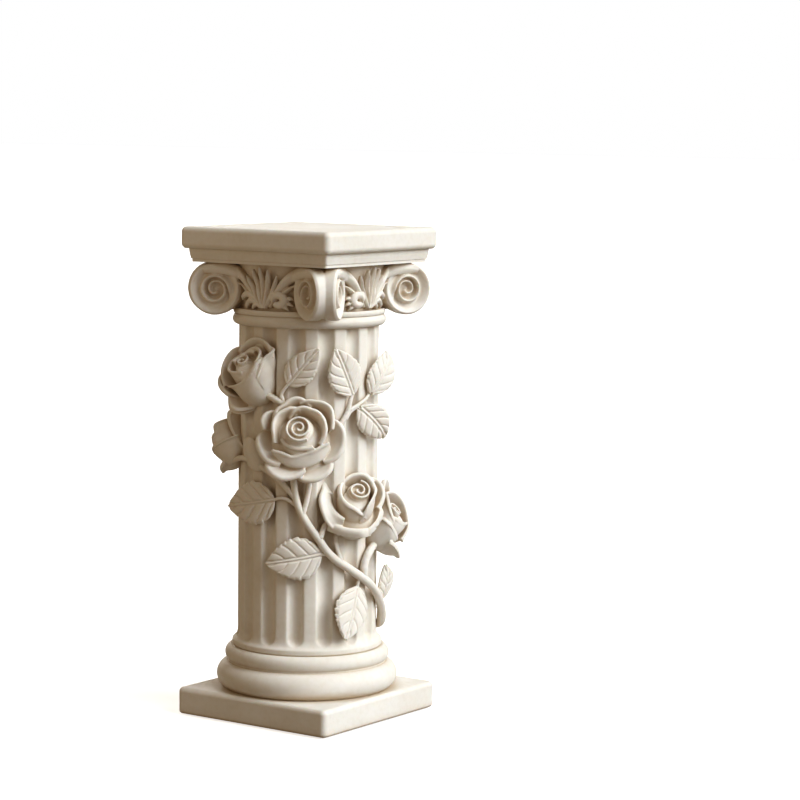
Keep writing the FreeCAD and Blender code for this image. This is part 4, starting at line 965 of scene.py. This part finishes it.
def acanthus(name, quarter, flip):
    """Leaf fan in (x, height, out) on the bell: fan of blades, lobed leaf on one side, curled leaf on the other."""
    z0 = BELL_LEDGE_TOP
    parts = []
    fan = [(-21.0, 43.0, -3.4), (-10.0, 51.5, -1.2), (0.5, 54.5, 0.3), (11.0, 51.5, 1.4), (22.0, 44.5, 3.6)]
    for i, (x, h, bow) in enumerate(fan):
        pts = [(x * 0.12, 3.0, 2.0), (x * 0.40 + bow * 0.4, h * 0.40, 3.2), (x * 0.72 + bow * 0.4, h * 0.72, 4.6), (x, h, 7.8)]
        parts.append(frond(pts, [2.2, 3.7, 3.5, 0.4], 5.2, 4.0, 0.9))
    for x, h in ((-8.0, 30.0), (8.0, 30.0)):
        pts = [(x * 0.12, 3.0, 3.5), (x * 0.5, h * 0.5, 5.5), (x, h, 7.0)]
        parts.append(frond(pts, [2.0, 2.4, 0.4], 3.6, 4.0, 0.9))
    # lobed leaf: a rounded body with three fingers that hang towards the scroll
    parts.append(frond([(-3, 5.0, 3.5), (-13, 15.5, 5.0), (-25, 20.0, 5.5), (-34, 17.0, 5.5), (-39, 11.0, 4.5)], [3.2, 4.2, 4.4, 3.4, 0.6], 3.4, 5.0, 0.5))
    parts.append(frond([(-4, 4.5, 3.5), (-13, 11.0, 5.0), (-22, 11.5, 5.5), (-28, 6.0, 5.0), (-30, 0.8, 4.0)], [3.0, 3.8, 3.6, 2.6, 0.5], 3.2, 5.0, 0.6))
    parts.append(frond([(-4, 4.0, 3.5), (-10, 8.0, 5.0), (-15, 5.5, 5.0), (-18, 0.6, 4.0)], [2.6, 3.2, 2.6, 0.5], 3.0, 5.0, 0.6))
    # curled leaf: a fat ring of leaf rolled round a small hollow, with short fingers beyond it
    ring = []
    ca, rad = (22.0, 14.0), 6.6
    for k in range(0, 15):
        a = math.radians(205 - k * 24)
        rr = rad - 0.06 * k
        ring.append((ca[0] + rr * 1.12 * math.cos(a), ca[1] + rr * math.sin(a), 5.0 + 0.15 * k))
    parts.append(frond(ring, [2.0, 4.0, 5.0, 5.2, 5.2, 5.0, 4.6, 3.6], 4.2, 6.0, 0.2, n=80))
    parts.append(frond([(3, 5.0, 3.0), (8, 12.0, 4.0), (14.5, 21.5, 5.0), (20, 24.0, 5.0)], [2.4, 3.2, 3.2, 1.0], 3.4, 5.0, 0.4))
    for x0, z1, x1, zz in ((29.0, 15.0, 42.0, 14.5), (28.5, 10.0, 41.0, 6.5), (26.0, 6.5, 35.0, 0.8)):
        parts.append(frond([(x0, z1, 4.0), (0.5 * (x0 + x1), 0.5 * (z1 + zz) + 1.5, 5.0), (x1, zz, 4.0)], [2.6, 2.8, 0.5], 2.8, 5.0, 0.7))
    out = []
    for V, F in parts:
        V = np.asarray(V)
        x, zz, o = V[:, 0] * (-1 if flip else 1), V[:, 1], V[:, 2]
        bell = np.interp(z0 + zz, [512, 541, 569.7], [88.0, 89.5, 95.0])
        a = x / 92.0
        R = bell + o + 0.5
        out.append((np.stack([R * np.sin(a), -R * np.cos(a), z0 + zz], -1), F))
    ang = math.radians(90 * quarter)
    rot = np.array([[math.cos(ang), math.sin(ang), 0], [-math.sin(ang), math.cos(ang), 0], [0, 0, 1]])
    out = [(V @ rot, F) for V, F in out]
    ob = fuse(name + "_cast", out, voxel=0.55, smooth=2, factor=0.5)
    return piece(ob, MAT_STONE, "cast_stone", name)


for k, name in enumerate(("acanthus_front", "acanthus_right", "acanthus_back", "acanthus_left")):
    acanthus(name, k, k % 2 == 1)

# ------------------------------------------------------------------ stage, light, camera
fl = bpy.data.meshes.new("floor")
fl.from_pydata([(-40, -40, 0), (40, -40, 0), (40, 40, 0), (-40, 40, 0)], [], [(0, 1, 2, 3)])
floor = bpy.data.objects.new("floor", fl)
scene.collection.objects.link(floor)
fm = bpy.data.materials.new("floor_paper")
fm.use_nodes = True
fb = fm.node_tree.nodes["Principled BSDF"]
fb.inputs["Base Color"].default_value = (0.92, 0.92, 0.91, 1)
fb.inputs["Roughness"].default_value = 0.9
fb.inputs["Emission Color"].default_value = (1.0, 0.99, 0.97, 1)
fb.inputs["Emission Strength"].default_value = 0.72
fl.materials.append(fm)
floor.visible_diffuse = False
floor.visible_glossy = False

# white sweep to the eye, a dim warm room to the object
world = bpy.data.worlds.new("studio")
world.use_nodes = True
wn, wl = world.node_tree.nodes, world.node_tree.links
bg = wn["Background"]
bg.inputs[0].default_value = (1.0, 0.71, 0.44, 1)
bg.inputs[1].default_value = 0.16
white = wn.new("ShaderNodeBackground")
white.inputs[0].default_value = (1, 1, 1, 1)
white.inputs[1].default_value = 1.0
seen = wn.new("ShaderNodeLightPath")
mix = wn.new("ShaderNodeMixShader")
wl.new(seen.outputs["Is Camera Ray"], mix.inputs[0])
wl.new(bg.outputs[0], mix.inputs[1])
wl.new(white.outputs[0], mix.inputs[2])
wl.new(mix.outputs[0], wn["World Output"].inputs[0])
scene.world = world


def aim(ob, az, el, dist):
    a, e = math.radians(az), math.radians(el)
    target = np.array([0, 0, 0.32])
    pos = target + dist * np.array([math.sin(a) * math.cos(e), -math.cos(a) * math.cos(e), math.sin(e)])
    fwd = unit(target - pos)
    right = unit(np.cross(fwd, (0, 0, 1)))
    up = np.cross(right, fwd)
    m = Matrix([[*r] for r in np.column_stack([right, up, -fwd])]).to_4x4()
    m.translation = pos.tolist()
    ob.matrix_world = m
    scene.collection.objects.link(ob)


def sun(name, az, el, strength, angle, colour):
    ld = bpy.data.lights.new(name, "SUN")
    ld.energy = strength
    ld.angle = math.radians(angle)
    ld.color = colour
    aim(bpy.data.objects.new(name, ld), az, el, 5.0)


sun("key", 104, 37, 3.55, 46, (0.93, 0.975, 1.0))
sun("side", 75, 10, 0.45, 60, (1.0, 0.97, 0.92))
sun("back", 228, 8, 1.4, 30, (1.0, 0.96, 0.88))
ld = bpy.data.lights.new("fill", "AREA")
ld.shape = "SQUARE"
ld.size = 0.5
ld.energy = 1.2
ld.color = (1.0, 0.76, 0.48)
aim(bpy.data.objects.new("fill", ld), -26, 14, 1.15)


# camera from the fitted view
Hm = 0.610
f_px, az = 2718.17, math.radians(37.485)
D, hc = 5.596 * Hm, 1.2379 * Hm
pitch, yaw, roll = math.radians(6.016), math.radians(1.933), math.radians(0.603)
pos = np.array([D * math.sin(az), -D * math.cos(az), hc + LIFT * MM])
fwd = np.array([-math.sin(az), math.cos(az), 0.0])
right = np.array([math.cos(az), math.sin(az), 0.0])
up = np.array([0, 0, 1.0])
fwd, right = fwd * math.cos(yaw) + right * math.sin(yaw), right * math.cos(yaw) - fwd * math.sin(yaw)
fwd, up = fwd * math.cos(pitch) - up * math.sin(pitch), up * math.cos(pitch) + fwd * math.sin(pitch)
right, up = right * math.cos(roll) + up * math.sin(roll), up * math.cos(roll) - right * math.sin(roll)
cd = bpy.data.cameras.new("camera")
cd.sensor_fit = "HORIZONTAL"
cd.sensor_width = 36.0
cd.lens = f_px * 36.0 / 800.0
cd.clip_start = 0.05
cam = bpy.data.objects.new("camera", cd)
m = Matrix([[*r] for r in np.column_stack([right, up, -fwd])]).to_4x4()
m.translation = pos.tolist()
cam.matrix_world = m
scene.collection.objects.link(cam)
scene.camera = cam

scene.view_settings.view_transform = "Standard"
scene.view_settings.look = "None"
scene.view_settings.exposure = 0.0

bpy.context.view_layer.update()
